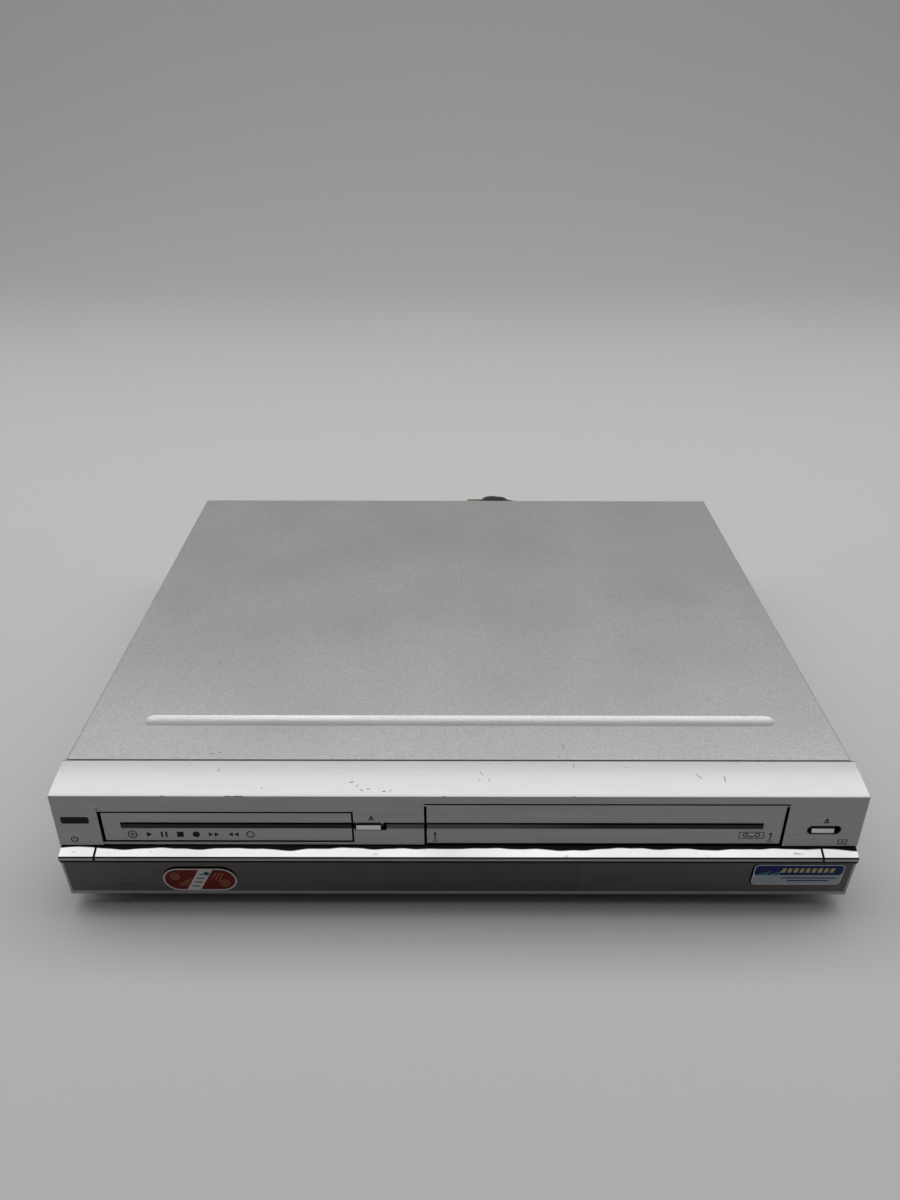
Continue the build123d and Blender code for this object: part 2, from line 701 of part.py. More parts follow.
def make_traverse_frame():
    ys = (disc_y - 24, traverse_hinge[0] + 4)
    frame = slab((disc_x - traverse_half, disc_x + traverse_half), ys, traverse_z)
    frame -= slab((disc_x - 26, disc_x + 26), (rod_post_y[0] + 2.5, rod_post_y[1] - 0.5),
                  (traverse_z[0] - 1, traverse_z[1] + 1))
    for y in rod_post_y:
        for side in (-1, 1):
            x = disc_x + side * rod_spread
            frame += slab((x - 3, x + 3), (y - 2, y + 2), (traverse_z[1], rod_level + rod_r + 0.3))
    frame += post(disc_x, disc_y, 12.0, (traverse_z[0] - 7, traverse_z[0]))
    frame += post(disc_x, disc_y, rod_r, (traverse_z[1], traverse_z[1] + 7))
    pin = rod_x(traverse_hinge[0], traverse_hinge[1], 2.0,
                (disc_x + traverse_half - 1, disc_x + traverse_half + 3.6))
    lug = slab((disc_x + traverse_half - 4, disc_x + traverse_half),
               (traverse_hinge[0] - 3, traverse_hinge[0] + 3),
               (traverse_hinge[1] - 2.6, traverse_hinge[1] + 2.6))
    return frame + about_x(disc_x, pin + lug)


def make_pickup_rods():
    ys = (rod_post_y[0] + 2, rod_post_y[1] - 2)
    rods = [rod_y(disc_x + side * rod_spread, rod_level, rod_r, ys) for side in (-1, 1)]
    return Compound(children=rods)


def make_pickup_sled():
    sled = slab((disc_x - 25, disc_x + 25), sled_y, (traverse_z[0] - 0.4, base + 31.5))
    for side in (-1, 1):
        sled -= rod_y(disc_x + side * rod_spread, rod_level, rod_r + run_fit, (sled_y[0] - 1, sled_y[1] + 1))
    lens = post(disc_x, sled_y[0] + 5, 4.0, (base + 31.5, base + 33))
    return sled + post(disc_x, sled_y[0] + 14, 8.0, (base + 31.5, base + 32)) + lens


def make_turntable():
    low = traverse_z[1] + 1.0
    plate = post(disc_x, disc_y, 5.0, (low, low + 4)) + post(disc_x, disc_y, 14.5, (low + 4, low + 6.2))
    nose = Pos(disc_x, disc_y, low + 7.7) * Cone(7.3, 5.5, 3.0)
    hub = plate + nose
    return hub - post(disc_x, disc_y, rod_r + run_fit, (low - 1, low + 6.4))


def make_clamp_bridge():
    ys = (disc_y - 16, disc_y + 16)
    bridge = slab((disc_x - frame_out, disc_x + frame_out), ys, bridge_z)
    for y in ys:
        bridge += slab((disc_x - frame_in + 4, disc_x + frame_in - 4), (y - 0.6, y + 0.6),
                       (bridge_z[1], bridge_z[1] + 3))
    return bridge - post(disc_x, disc_y, 12.5, (bridge_z[0] - 1, bridge_z[1] + 1))


def make_disc_clamp():
    clamp = post(disc_x, disc_y, 14.5, (bridge_z[1] + touch_gap, bridge_z[1] + 1.8))
    clamp += post(disc_x, disc_y, 12.0, (bridge_z[0] - 0.4, bridge_z[1] + touch_gap))
    clamp += post(disc_x, disc_y, 14.5, (bridge_z[0] - 1.6, bridge_z[0] - 0.4))
    return clamp - post(disc_x, disc_y, 8.5, (bridge_z[0] - 2, bridge_z[0] + 1.4))


# ------------------------------------------------------------------ tape deck
deck_front = inner_y + 29.5
deck_z = (base + deck_h, base + deck_h + 1.5)
deck_top = deck_z[1]
side_t = 1.2
deck_back = panel_y - strip_back - strip_len - deck_to_board
bracket_len = 168.0
bracket_top = base + 61.3
carrier_y = (deck_front + 4.0, deck_front + 60.0)
carrier_pins_y = (deck_front + 18.0, deck_front + 46.0)
carrier_pin_r = 2.0
carrier_pin_z = base + 51.6
carrier_half = deck_half - side_t - 0.4
basket_y = (deck_front, deck_front + 76.0)
basket_half = carrier_half - side_t - 0.4
basket_z = (base + 34.3, base + 61.8)
basket_pins_y = (deck_front + 28.0, deck_front + 53.0)
basket_pin_r = 1.5
basket_pin_z = base + 57.3
ledge_w = 24.0
reel_y = deck_front + 110.0
reel_z = (deck_top + 0.7, deck_top + 4.0)
spindle_top = deck_top + 16.5
axle_r = 1.5
drum_y = deck_back - 44.0
drum_z = (deck_top, deck_top + 13.5)
head_z = (drum_z[1] + 0.4, drum_z[1] + 15.0)
guide_rest = 22.0
guide_r = 5.5
capstan_post_h = 3.6
capstan_at = (deck_x + deck_half - 40.0, drum_y - 38.0)
pinch_pivot = (capstan_at[0] + 20.0, capstan_at[1] + 18.0)
pinch_arm_len = 24.0
roller_r = 6.5
roller_gap = 0.4


def pinch_rest_angle():
    """Direction of the pinch arm at rest: its closed angle plus the swing."""
    dx, dy = capstan_at[0] - pinch_pivot[0], capstan_at[1] - pinch_pivot[1]
    reach, near = math.hypot(dx, dy), roller_r + axle_r + roller_gap
    bend = math.acos((reach ** 2 + pinch_arm_len ** 2 - near ** 2) / (2 * reach * pinch_arm_len))
    return math.degrees(math.atan2(dy, dx) + bend) + pinch_swing


roller_at = (pinch_pivot[0] + pinch_arm_len * math.cos(math.radians(pinch_rest_angle())),
             pinch_pivot[1] + pinch_arm_len * math.sin(math.radians(pinch_rest_angle())))


def guide_slot(start, sweep):
    arc = CenterArc((deck_x, drum_y), guide_orbit_r, start, sweep)
    return extrude(Pos(0, 0, deck_z[0] - 1) * SlotArc(arc, 4.6), 4)


def make_deck_plate():
    xs = (deck_x - deck_half, deck_x + deck_half)
    deck = slab(xs, (deck_front, deck_back), deck_z)
    deck -= guide_slot(-90 + guide_rest - 1, guide_swing + 2)
    deck -= guide_slot(-90 - guide_rest + 1, -guide_swing - 2)
    bracket = slab((xs[1] - side_t, xs[1]), (deck_front, deck_front + bracket_len), (deck_z[1], bracket_top))
    slot_y = (carrier_pins_y[0] - carrier_pin_r - touch_gap,
              carrier_pins_y[1] + basket_in + carrier_pin_r + touch_gap)
    slot_z = (carrier_pin_z - carrier_pin_r - touch_gap, carrier_pin_z + carrier_pin_r + touch_gap)
    bracket -= slab((xs[1] - 2, xs[1] + 1), slot_y, slot_z)
    for y in (deck_front + 8, deck_back - 8):
        bracket += post(xs[1] - 8, y, 5.0, (pan_top, deck_z[0]))
    deck += about_x(deck_x, bracket)
    for side in (-1, 1):
        deck += post(deck_x + side * reel_spacing / 2, reel_y, axle_r, (deck_top, spindle_top - 3))
    deck += post(pinch_pivot[0], pinch_pivot[1], axle_r, (deck_top, deck_top + 4.5))
    deck += post(capstan_at[0], capstan_at[1], 4.0, (deck_top, deck_top + capstan_post_h))
    return deck - post(capstan_at[0], capstan_at[1], axle_r + run_fit, (deck_z[0] - 1, deck_top + 7))


def make_basket_carrier():
    side = slab((deck_x + carrier_half - side_t, deck_x + carrier_half), carrier_y,
                (base + 35.3, base + 63.3))
    slot_z = (basket_pin_z - basket_down - basket_pin_r - touch_gap,
              basket_pin_z + basket_pin_r + touch_gap)
    for y in basket_pins_y:
        side -= slab((deck_x + carrier_half - 2, deck_x + carrier_half + 1),
                     (y - basket_pin_r - touch_gap, y + basket_pin_r + touch_gap), slot_z)
    for y in carrier_pins_y:
        side += rod_x(y, carrier_pin_z, carrier_pin_r,
                      (deck_x + carrier_half - side_t / 2, deck_x + deck_half + 1.4))
    carrier = about_x(deck_x, side)
    return carrier + slab((deck_x - carrier_half, deck_x + carrier_half), (carrier_y[0], carrier_y[0] + 10),
                          (base + 63.3, base + 64.8))


def make_cassette_basket():
    side = slab((deck_x + basket_half - 1, deck_x + basket_half), basket_y, basket_z)
    side += slab((deck_x + basket_half - ledge_w, deck_x + basket_half), basket_y,
                 (basket_z[0], basket_z[0] + 1))
    for y in basket_pins_y:
        side += rod_x(y, basket_pin_z, basket_pin_r,
                      (deck_x + basket_half - 0.6, deck_x + carrier_half - 0.2))
    basket = about_x(deck_x, side)
    for y in (basket_y[0] + 2, basket_y[1] - 10):
        basket += slab((deck_x - basket_half, deck_x + basket_half), (y, y + 8),
                       (basket_z[1] - 1, basket_z[1]))
    return basket


def make_reel(x):
    reel = post(x, reel_y, reel_r, reel_z) + post(x, reel_y, 4.8, (reel_z[1], spindle_top))
    reel = chamfer(reel.edges().group_by(Axis.Z)[-1], 1.0)
    for i in range(3):
        angle = 120.0 * i
        fin = slab((3, 7.2), (-0.8, 0.8), (reel_z[1], spindle_top - 3))
        reel += Pos(x, reel_y, 0) * Rot(0, 0, angle) * fin
    return reel - post(x, reel_y, axle_r + run_fit, (reel_z[0] - 1, spindle_top - 2))


def make_lower_drum():
    drum = post(deck_x, drum_y, drum_r, drum_z)
    return drum + post(deck_x, drum_y, 3.0, (drum_z[1], head_z[1] - 1.5))


def make_head_drum():
    drum = post(deck_x, drum_y, drum_r, head_z)
    drum = chamfer(drum.edges().group_by(Axis.Z)[-1], 1.0)
    drum -= post(deck_x, drum_y, 3.0 + run_fit, (head_z[0] - 1, head_z[1] - 1))
    for angle in (0, 180):
        window = slab((drum_r - 3, drum_r + 1), (-3, 3), (head_z[0] - 1, head_z[0] + 2.5))
        drum -= Pos(deck_x, drum_y, 0) * Rot(0, 0, angle) * window
    return drum


def make_tape_guide(angle):
    x = deck_x + guide_orbit_r * math.cos(math.radians(angle))
    y = drum_y + guide_orbit_r * math.sin(math.radians(angle))
    guide = post(x, y, guide_r, (deck_top + 0.4, deck_top + 3.5))
    guide += post(x, y, 2.2, (deck_top + 3.5, deck_top + 24))
    guide += post(x, y, 3.4, (deck_top + 24, deck_top + 25))
    guide += post(x, y, 3.4, (deck_top + 5.5, deck_top + 6.5))
    guide += post(x, y, 2.0, (deck_z[0] - 0.4, deck_top + 0.4))
    return guide + post(x, y, 4.0, (deck_z[0] - 1.6, deck_z[0] - 0.4))


def make_capstan():
    x, y = capstan_at
    shaft = post(x, y, axle_r, (pan_top + 2, deck_top + 25))
    return shaft + post(x, y, 20.0, (pan_top + 2.3, deck_z[0] - 3))


def make_pinch_arm():
    zs = (deck_top + 1.2, deck_top + 3.2)
    plan = make_hull((Pos(*pinch_pivot) * Circle(5)).edges() + (Pos(*roller_at) * Circle(4)).edges())
    arm = extrude(Pos(0, 0, zs[0]) * plan, zs[1] - zs[0])
    arm += post(roller_at[0], roller_at[1], axle_r, (zs[1], zs[1] + 14.5))
    return arm - post(pinch_pivot[0], pinch_pivot[1], axle_r + run_fit, (zs[0] - 1, zs[1] + 1))


def make_pinch_roller():
    zs = (deck_top + 4.4, deck_top + 18.5)
    roller = post(roller_at[0], roller_at[1], roller_r, zs)
    return roller - post(roller_at[0], roller_at[1], axle_r + run_fit, (zs[0] - 1, zs[1] + 1))


# ------------------------------------------------------------------ electronics
board_z = (base + board_h, base + board_h + board_t)
strip_x = (deck_x - deck_half - board_past_deck, half_w - board_margin)
strip_y = (panel_y - strip_back - strip_len, panel_y - strip_back)
column_x = (deck_x + deck_half + 5.2, half_w - board_margin)
column_y = (deck_front, strip_y[0])
power_x = (-half_w + 10, strip_x[0] - power_gap)
power_y = (loader_back + 15, panel_y - 7.2)
board_posts = [(strip_x[0] + 6, strip_y[0] + 6), (strip_x[1] - 8, strip_y[1] - 6),
               (column_x[1] - 8, column_y[0] + 8), (deck_x, strip_y[1] - 6)]
power_posts = [(x, y) for x in (power_x[0] + 6, power_x[1] - 6) for y in (power_y[0] + 6, power_y[1] - 6)]
relief_r = 5.0
antenna_r = 4.6
antenna_x = (strip_x[1] - antenna_in - antenna_pitch, strip_x[1] - antenna_in)
antenna_z = base + 40.0
fan_at = (strip_x[0] + fan_in, base + 33.5)
fan_bore_r = 18.5
fan_y = (panel_y - 10.0, panel_y)
jack_origin = (strip_x[0] + jacks_in, base + 19.3)


def jack_places():
    return [(jack_origin[0] + jack_pitch[0] * i, jack_origin[1] + jack_pitch[1] * j)
            for i in range(jack_columns) for j in range(jack_rows)]


def chip(x, y, size, height):
    return slab((x - size / 2, x + size / 2), (y - size / 2, y + size / 2),
                (board_z[1], board_z[1] + height))


def make_main_board():
    board = slab(strip_x, strip_y, board_z) + slab(column_x, column_y, board_z)
    column_middle = (column_x[0] + column_x[1]) / 2
    for x, size in ((strip_x[0] + 25, 14), (strip_x[1] - 78, 16)):
        board += chip(x, strip_y[0] + 12, size, 2.5)
    for ahead, size in ((68, 16), (118, 12), (188, 18)):
        board += chip(column_middle, column_y[1] - ahead, size, 2.5)
    return board


def make_power_board():
    return slab(power_x, power_y, board_z)


def make_transformer():
    x, y = power_x[0] + 43, power_y[0] + 48
    core_half, core_h = (20, 16), 32
    window_half, coil_z = 12, (board_z[1] + 7, board_z[1] + core_h - 7)
    core = slab((x - core_half[0], x + core_half[0]), (y - core_half[1], y + core_half[1]),
                (board_z[1], board_z[1] + core_h))
    core -= slab((x - window_half, x + window_half), (y - core_half[1] - 1, y + core_half[1] + 1), coil_z)
    coil_y = (y - core_half[1] - 4, y + core_half[1] + 4)
    return core + slab((x - window_half, x + window_half), coil_y, coil_z)


def make_capacitors():
    cans = []
    pitch = (power_y[1] - power_y[0] - 48) / 3
    for i in range(4):
        cans.append((power_x[0] + 13, power_y[0] + 20 + pitch * i, 8.0, 25))
    for i in range(3):
        cans.append((power_x[1] - 11, power_y[1] - 14 - 14 * i, 5.0, 16))
    for x in (strip_x[0] + 9, strip_x[1] - 62):
        cans.append((x, strip_y[0] + 8, 4.0, 12))
    solids = [post(x, y, r, (board_z[1], board_z[1] + height)) for x, y, r, height in cans]
    return Compound(children=[chamfer(can.edges().group_by(Axis.Z)[-1], 0.8) for can in solids])


def make_heat_sink():
    x, y = power_x[1] - 32, power_y[1] - 70
    half, fin_pitch, top = 26, 6, board_z[1] + 32
    sink = slab((x - 2, x + 2), (y - half, y + half), (board_z[1], top))
    for i in range(9):
        fin_y = y - half + 2 + fin_pitch * i
        sink += slab((x + 2, x + 14), (fin_y - 1, fin_y + 1), (board_z[1] + 4, top))
    return sink


def make_tuner_module():
    xs = (antenna_x[0] - 14, antenna_x[1] + 14)
    return slab(xs, (panel_y - 42.2, panel_y - 4.2), (board_z[1], antenna_z + 10))


def make_antenna_connectors():
    jacks = []
    for x in antenna_x:
        jack = rod_y(x, antenna_z, antenna_r, (panel_y - 4.2, jack_tip))
        core = rod_y(x, antenna_z, antenna_r - 0.4, (panel_y, jack_tip))
        for i in range(5):
            y = jack_tip - 1.2 - 1.2 * i
            jack -= rod_y(x, antenna_z, antenna_r + 1, (y - 0.3, y + 0.3)) - core
        jacks.append(jack - rod_y(x, antenna_z, 1.4, (jack_tip - 6, jack_tip + 1)))
    return Compound(children=jacks)


def make_rear_jack_block():
    xs = (jack_origin[0] - 10, jack_origin[0] + jack_pitch[0] * (jack_columns - 1) + 10)
    top = jack_origin[1] + jack_pitch[1] * (jack_rows - 1) + 7
    block = slab(xs, (panel_y - 12.2, panel_y), (board_z[1], top))
    for x, z in jack_places():
        block += rod_y(x, z, jack_r, (panel_y - 1, jack_tip))
        block -= rod_y(x, z, 1.7, (jack_tip - 8, jack_tip + 1))
    return block


def make_fan_frame():
    x, z = fan_at
    half = fan_size / 2
    frame = slab((x - half, x + half), fan_y, (z - half, z + half))
    frame = fillet(frame.edges().filter_by(Axis.Y), 3.0)
    frame -= rod_y(x, z, fan_bore_r, (fan_y[0] - 1, fan_y[1] + 1))
    frame += rod_y(x, z, 9.0, (fan_y[1] - 1.4, fan_y[1]))
    for angle in (90, 210, 330):
        strut = slab((0, fan_bore_r + 0.5), (fan_y[1] - 1.4, fan_y[1]), (-1.2, 1.2))
        frame += Pos(x, 0, z) * Rot(0, angle, 0) * strut
    return frame + rod_y(x, z, axle_r, (fan_y[0] + 1.4, fan_y[1] - 1.4))


def make_fan_impeller():
    x, z = fan_at
    ys = (fan_y[0] + 0.6, fan_y[1] - 2.0)
    fan = rod_y(x, z, 9.0, ys)
    for i in range(7):
        blade = Pos(12.8, (ys[0] + ys[1]) / 2, 0) * Rot(38, 0, 0) * Box(9.2, 1.2, 7.6)
        fan += Pos(x, 0, z) * Rot(0, i * 360 / 7, 0) * blade
    return fan - rod_y(x, z, axle_r + run_fit, (fan_y[0] + 1.0, ys[1] + 1))


# ------------------------------------------------------------------ mains cord
cord_r = cord_d / 2
exit_y = panel_y + sheet + relief_len
layer_z = (cord_r, cord_r + coil_pitch)
coil_start = (coil_centre[0], coil_centre[1] - coil_r)
lead = cord_d
plug_z = layer_z[1] + cord_r + 1.0 + plug_size[2] / 2
plug_y = coil_start[1] + 2 * tail_r
cord_route = [
    (exit_x, exit_y, base + exit_h),
    (exit_x, exit_y + 17, base + exit_h),
    (-82.5, 234, 20),
    (-74, 251, 11),
    (-58, 265, 4.6),
    (-35, 270, cord_r),
    (-12, 259, cord_r),
    (7, 238, cord_r),
    (coil_start[0] - lead - 24, coil_start[1], cord_r),
    (coil_start[0] - lead, coil_start[1], cord_r),
]


def route_radii(points):
    """The largest arcs that fit the runs on each side of every corner."""
    radii = []
    for before, here, after in zip(points, points[1:], points[2:]):
        run_in, run_out = Vector(here) - Vector(before), Vector(after) - Vector(here)
        half_turn = math.radians(run_in.get_angle(run_out)) / 2
        radii.append(0.45 * min(run_in.length, run_out.length) / math.tan(half_turn))
    return radii


def tube(path, name):
    """A round tube along a path, with its volume set against section times length."""
    section = Plane(origin=path @ 0, z_dir=path % 0) * Circle(cord_r)
    solid = sweep(section, path)
    expected = math.pi * cord_r ** 2 * path.length
    print(f"{name}: length {path.length:.0f} mm, volume ratio {solid.volume / expected:.4f}")
    return solid


def make_mains_cord():
    radii = route_radii(cord_route)
    print("cord radii", [round(r) for r in radii])
    return tube(FilletPolyline(*cord_route, radius=radii), "mains_cord")


def coil_points():
    """Quarter-turn points and tangents of the two layers and of the tail up to the plug."""
    quarters = 8 * coil_turns
    reverse = quarters // 2
    rise = layer_z[1] - layer_z[0]
    arc = math.pi / 2
    points = []
    for i in range(quarters + 1):
        turned = abs(i - reverse)
        r = coil_r - coil_pitch * (reverse - turned) / 4
        angle = -arc + arc * i
        drift = -coil_pitch / (2 * math.pi) * (1 if i < reverse else -1 if i > reverse else 0)
        z, climb = layer_z[0] if i < reverse else layer_z[1], 0.0
        if i == reverse:
            z, climb = layer_z[0] + rise / 2, 1.5 * rise / (2 * arc)
        if i in (0, quarters):
            drift = 0.0
        if i == quarters:
            z, climb = layer_z[1] + 5.0, 5.0 / arc
        place = (coil_centre[0] + r * math.cos(angle), coil_centre[1] + r * math.sin(angle), z)
        along = (drift * math.cos(angle) - r * math.sin(angle),
                 drift * math.sin(angle) + r * math.cos(angle), climb)
        points.append((Vector(*place), Vector(*along).normalized()))
    tail_x, tail_y = coil_start[0], coil_start[1] + tail_r
    points.append((Vector(tail_x + tail_r, tail_y, plug_z - 2.4), Vector(0, 1, 0.09).normalized()))
    points.append((Vector(tail_x, tail_y + tail_r, plug_z), Vector(-1, 0, 0)))
    return points


def biarc(start, end):
    """Two arcs that join two points with the tangents given there."""
    (p0, t0), (p1, t1) = start, end
    gap, both = p1 - p0, t0 + t1
    a, b, c = 2 * (1 - t0.dot(t1)), 2 * gap.dot(both), -gap.dot(gap)
    reach = (-b + math.sqrt(b * b - 4 * a * c)) / (2 * a)
    middle = (p0 + t0 * reach + p1 - t1 * reach) / 2
    joint_tangent = (p1 - t1 * reach) - (p0 + t0 * reach)
    return [TangentArc(p0, middle, tangent=t0), TangentArc(middle, p1, tangent=joint_tangent)]


def least_gap(path):
    """Least gap between turns of the coil, over points that are over a third of a turn apart."""
    count = 900
    points = [path @ (i / count) for i in range(count + 1)]
    apart = int(count * 2.0 * coil_r / path.length)
    nearest = min((points[i] - points[j]).length
                  for i in range(count + 1) for j in range(i + apart, count + 1))
    return nearest - cord_d


def make_cord_coil():
    points = coil_points()
    first, last = points[0], points[-1]
    edges = [Line(first[0] - first[1] * lead, first[0])]
    for start, end in zip(points, points[1:]):
        edges += biarc(start, end)
    edges.append(Line(last[0], last[0] + last[1] * lead))
    path = Wire(edges)
    print(f"cord_coil: least gap {least_gap(path):.2f} mm")
    return tube(path, "cord_coil")


def make_strain_relief():
    ys = (panel_y - 3, exit_y)
    z = base + exit_h
    relief = rod_y(exit_x, z, relief_r, (ys[0], panel_y + sheet + 2))
    relief += rod_y(exit_x, z, relief_r + 2.5, (panel_y + sheet, panel_y + sheet + 3))
    taper = Plane(origin=(exit_x, panel_y + sheet + 3, z), z_dir=(0, 1, 0))
    length = ys[1] - (panel_y + sheet + 3)
    relief += loft([taper * Circle(relief_r), taper.offset(length) * Circle(cord_r + 0.8)])
    return relief


def make_cord_tie():
    inside, outside = coil_r - coil_pitch * coil_turns - cord_r - 0.6, coil_r + cord_r + 0.6
    xs = (coil_centre[0] - outside, coil_centre[0] - inside)
    ys = (coil_centre[1] - 3.5, coil_centre[1] + 3.5)
    top = layer_z[1] + cord_r + 0.5
    band = slab((xs[0] - 1, xs[1] + 1), ys, (0, top + 1))
    return band - slab(xs, (ys[0] - 1, ys[1] + 1), (1.0, top))


def make_mains_plug():
    """Two flat blades in a body that is highest at its middle and narrows to a round neck."""
    length, width, height = plug_size
    face_x = coil_start[0] - lead - plug_neck - length
    face = Plane(origin=(face_x, plug_y, plug_z), x_dir=(0, 1, 0), z_dir=(1, 0, 0))
    sections = ((0.0, width - 2, height - 4), (0.5, width, height), (1.0, width - 5, height - 3))
    outlines = [face.offset(length * share) * RectangleRounded(across_y, across_z, 3.5)
                for share, across_y, across_z in sections]
    body = loft(outlines[:2], ruled=True) + loft(outlines[1:], ruled=True)
    neck = face.offset(length - 0.5)
    body += loft([neck * Circle(5.5), neck.offset(plug_neck + 0.5) * Circle(cord_r + 0.8)])
    for side in (-1, 1):
        y = plug_y + side * blade_spacing / 2
        body += slab((face_x - blade_size[0], face_x + 1), (y - blade_size[1] / 2, y + blade_size[1] / 2),
                     (plug_z - blade_size[2] / 2, plug_z + blade_size[2] / 2))
    return body


# ------------------------------------------------------------------ all the pieces
pieces = {
    "chassis_pan": make_chassis_pan(),
    "rear_panel": make_rear_panel(),
    "top_cover": make_top_cover(),
    "front_bezel": make_front_bezel(),
    "chrome_trim": make_chrome_trim(),
    "case_screws": make_case_screws(),
    "feet": make_feet(),
    "control_panel": make_control_panel(),
    "display_tube": make_display_tube(),
    "front_board": make_front_board(),
    "front_av_jacks": make_front_jacks(),
    "power_button": make_end_button(-1),
    "source_button": make_end_button(1),
    "open_close_button": lip_button(oc_button_x, oc_button_z),
    "eject_button": lip_button(eject_button_x, eject_button_z),
    "door_frame": make_door_frame(),
    "door_lens": make_door_lens(),
    "cassette_flap": make_cassette_flap(),
    "tray_front": make_tray_front(),
    "disc_tray": make_disc_tray(),
    "tray_gear": make_tray_gear(),
    "loader_frame": make_loader_frame(),
    "loading_motor": make_loading_motor(),
    "traverse_frame": make_traverse_frame(),
    "pickup_rods": make_pickup_rods(),
    "pickup_sled": make_pickup_sled(),
    "turntable": make_turntable(),
    "clamp_bridge": make_clamp_bridge(),
    "disc_clamp": make_disc_clamp(),
    "deck_plate": make_deck_plate(),
    "basket_carrier": make_basket_carrier(),
    "cassette_basket": make_cassette_basket(),
    "supply_reel": make_reel(deck_x - reel_spacing / 2),
    "takeup_reel": make_reel(deck_x + reel_spacing / 2),
    "lower_drum": make_lower_drum(),
    "head_drum": make_head_drum(),
    "supply_guide": make_tape_guide(-90 - guide_rest),
    "takeup_guide": make_tape_guide(-90 + guide_rest),
    "capstan": make_capstan(),
    "pinch_arm": make_pinch_arm(),
    "pinch_roller": make_pinch_roller(),
    "main_board": make_main_board(),
    "power_board": make_power_board(),
    "transformer": make_transformer(),
    "capacitors": make_capacitors(),
    "heat_sink": make_heat_sink(),
    "tuner_module": make_tuner_module(),
    "antenna_connectors": make_antenna_connectors(),
    "rear_jack_block": make_rear_jack_block(),
    "fan_frame": make_fan_frame(),
    "fan_impeller": make_fan_impeller(),
    "strain_relief": make_strain_relief(),
    "mains_cord": make_mains_cord(),
    "cord_coil": make_cord_coil(),
    "cord_tie": make_cord_tie(),
    "mains_plug": make_mains_plug(),
}
for name, place in zip(("record_key", "stop_key", "channel_key", "play_key"), key_at):
    pieces[name] = make_key(place)

for name, shape in pieces.items():
    export_step(shape, f"parts/{name}.step")
print(len(pieces), "pieces")
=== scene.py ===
import json
import math

import bmesh
import bpy
from mathutils import Matrix, Vector


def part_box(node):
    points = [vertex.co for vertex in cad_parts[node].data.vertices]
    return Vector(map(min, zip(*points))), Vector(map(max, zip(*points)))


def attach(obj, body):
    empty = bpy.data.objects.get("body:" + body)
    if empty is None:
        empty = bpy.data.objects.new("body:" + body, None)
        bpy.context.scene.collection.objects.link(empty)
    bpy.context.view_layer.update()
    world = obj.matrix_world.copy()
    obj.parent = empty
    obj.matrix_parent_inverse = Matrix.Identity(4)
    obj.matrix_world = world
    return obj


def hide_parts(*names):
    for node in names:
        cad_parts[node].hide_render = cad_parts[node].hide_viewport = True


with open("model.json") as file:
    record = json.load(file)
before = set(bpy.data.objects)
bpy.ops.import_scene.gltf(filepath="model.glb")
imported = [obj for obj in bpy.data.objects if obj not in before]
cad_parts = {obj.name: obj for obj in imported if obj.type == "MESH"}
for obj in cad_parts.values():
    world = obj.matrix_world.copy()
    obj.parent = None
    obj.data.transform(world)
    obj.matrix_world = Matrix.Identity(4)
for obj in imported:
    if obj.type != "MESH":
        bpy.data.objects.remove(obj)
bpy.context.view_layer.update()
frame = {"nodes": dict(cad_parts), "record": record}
nodes = frame["nodes"]

MM = 0.001


def new_object(name, data):
    thing = bpy.data.objects.new(name, data)
    bpy.context.scene.collection.objects.link(thing)
    return thing


# ------------------------------------------------------------------ camera
# Fitted to the corners of the case: focal length in pixels of the 1200 pixel side, angles in radians.
PHOTO_HEIGHT = 1200
FOCAL_PIXELS = 855.24
PITCH = 0.565843
ROLL = 0.002483
YAW = -0.001344
EYE = Vector((-5.54, -493.62, 401.33)) * MM
FILM = 36.0


def make_camera():
    data = bpy.data.cameras.new("camera")
    data.sensor_fit = "AUTO"
    data.sensor_width = FILM
    data.lens = FOCAL_PIXELS / PHOTO_HEIGHT * FILM
    data.clip_start = 0.01
    camera = new_object("camera", data)
    right = Vector((math.cos(YAW), math.sin(YAW), 0))
    level = Vector((-math.sin(YAW), math.cos(YAW), 0))
    ahead = level * math.cos(PITCH) - Vector((0, 0, math.sin(PITCH)))
    up = level * math.sin(PITCH) + Vector((0, 0, math.cos(PITCH)))
    x_axis = right * math.cos(ROLL) + up * math.sin(ROLL)
    y_axis = up * math.cos(ROLL) - right * math.sin(ROLL)
    turn = Matrix((x_axis, y_axis, -ahead)).transposed().to_4x4()
    camera.matrix_world = Matrix.Translation(EYE) @ turn
    bpy.context.scene.camera = camera


# ------------------------------------------------------------------ places on the case
FACE_TOP = Vector((0, -171.7, 75.1)) * MM
FACE_FOOT = Vector((0, -175.0, 42.05)) * MM
SEAM = Vector((0, -148.1, 78.5)) * MM
FACE_UP = (FACE_TOP - FACE_FOOT).normalized()
FACE_OUT = Vector((1, 0, 0)).cross(FACE_UP)
INSET = 0.6 * MM
GROOVE_Z = (53.0, 57.2)
GROOVE_DEPTH = 1.8
DOOR_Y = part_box("door_lens")[0][1]
REAR_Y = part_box("rear_panel")[1][1]
TO_FRONT = Vector((0, -1, 0))
TO_REAR = Vector((0, 1, 0))
UP = Vector((0, 0, 1))
BEVEL_LEAD = 0.07


def axes_at(origin, up, out):
    """Matrix of a flat place: across, up and out of the surface."""
    return Matrix.Translation(origin) @ Matrix((up.cross(out), up, out)).transposed().to_4x4()


def on_face(x, z, depth=0.0):
    """A place on the leaning face, at millimetres across and up; depth is metres into the panel."""
    along = (z * MM - FACE_TOP.z) / FACE_UP.z
    point = FACE_TOP + FACE_UP * along - FACE_OUT * depth
    return axes_at(Vector((x * MM, point.y, point.z)), FACE_UP, FACE_OUT)


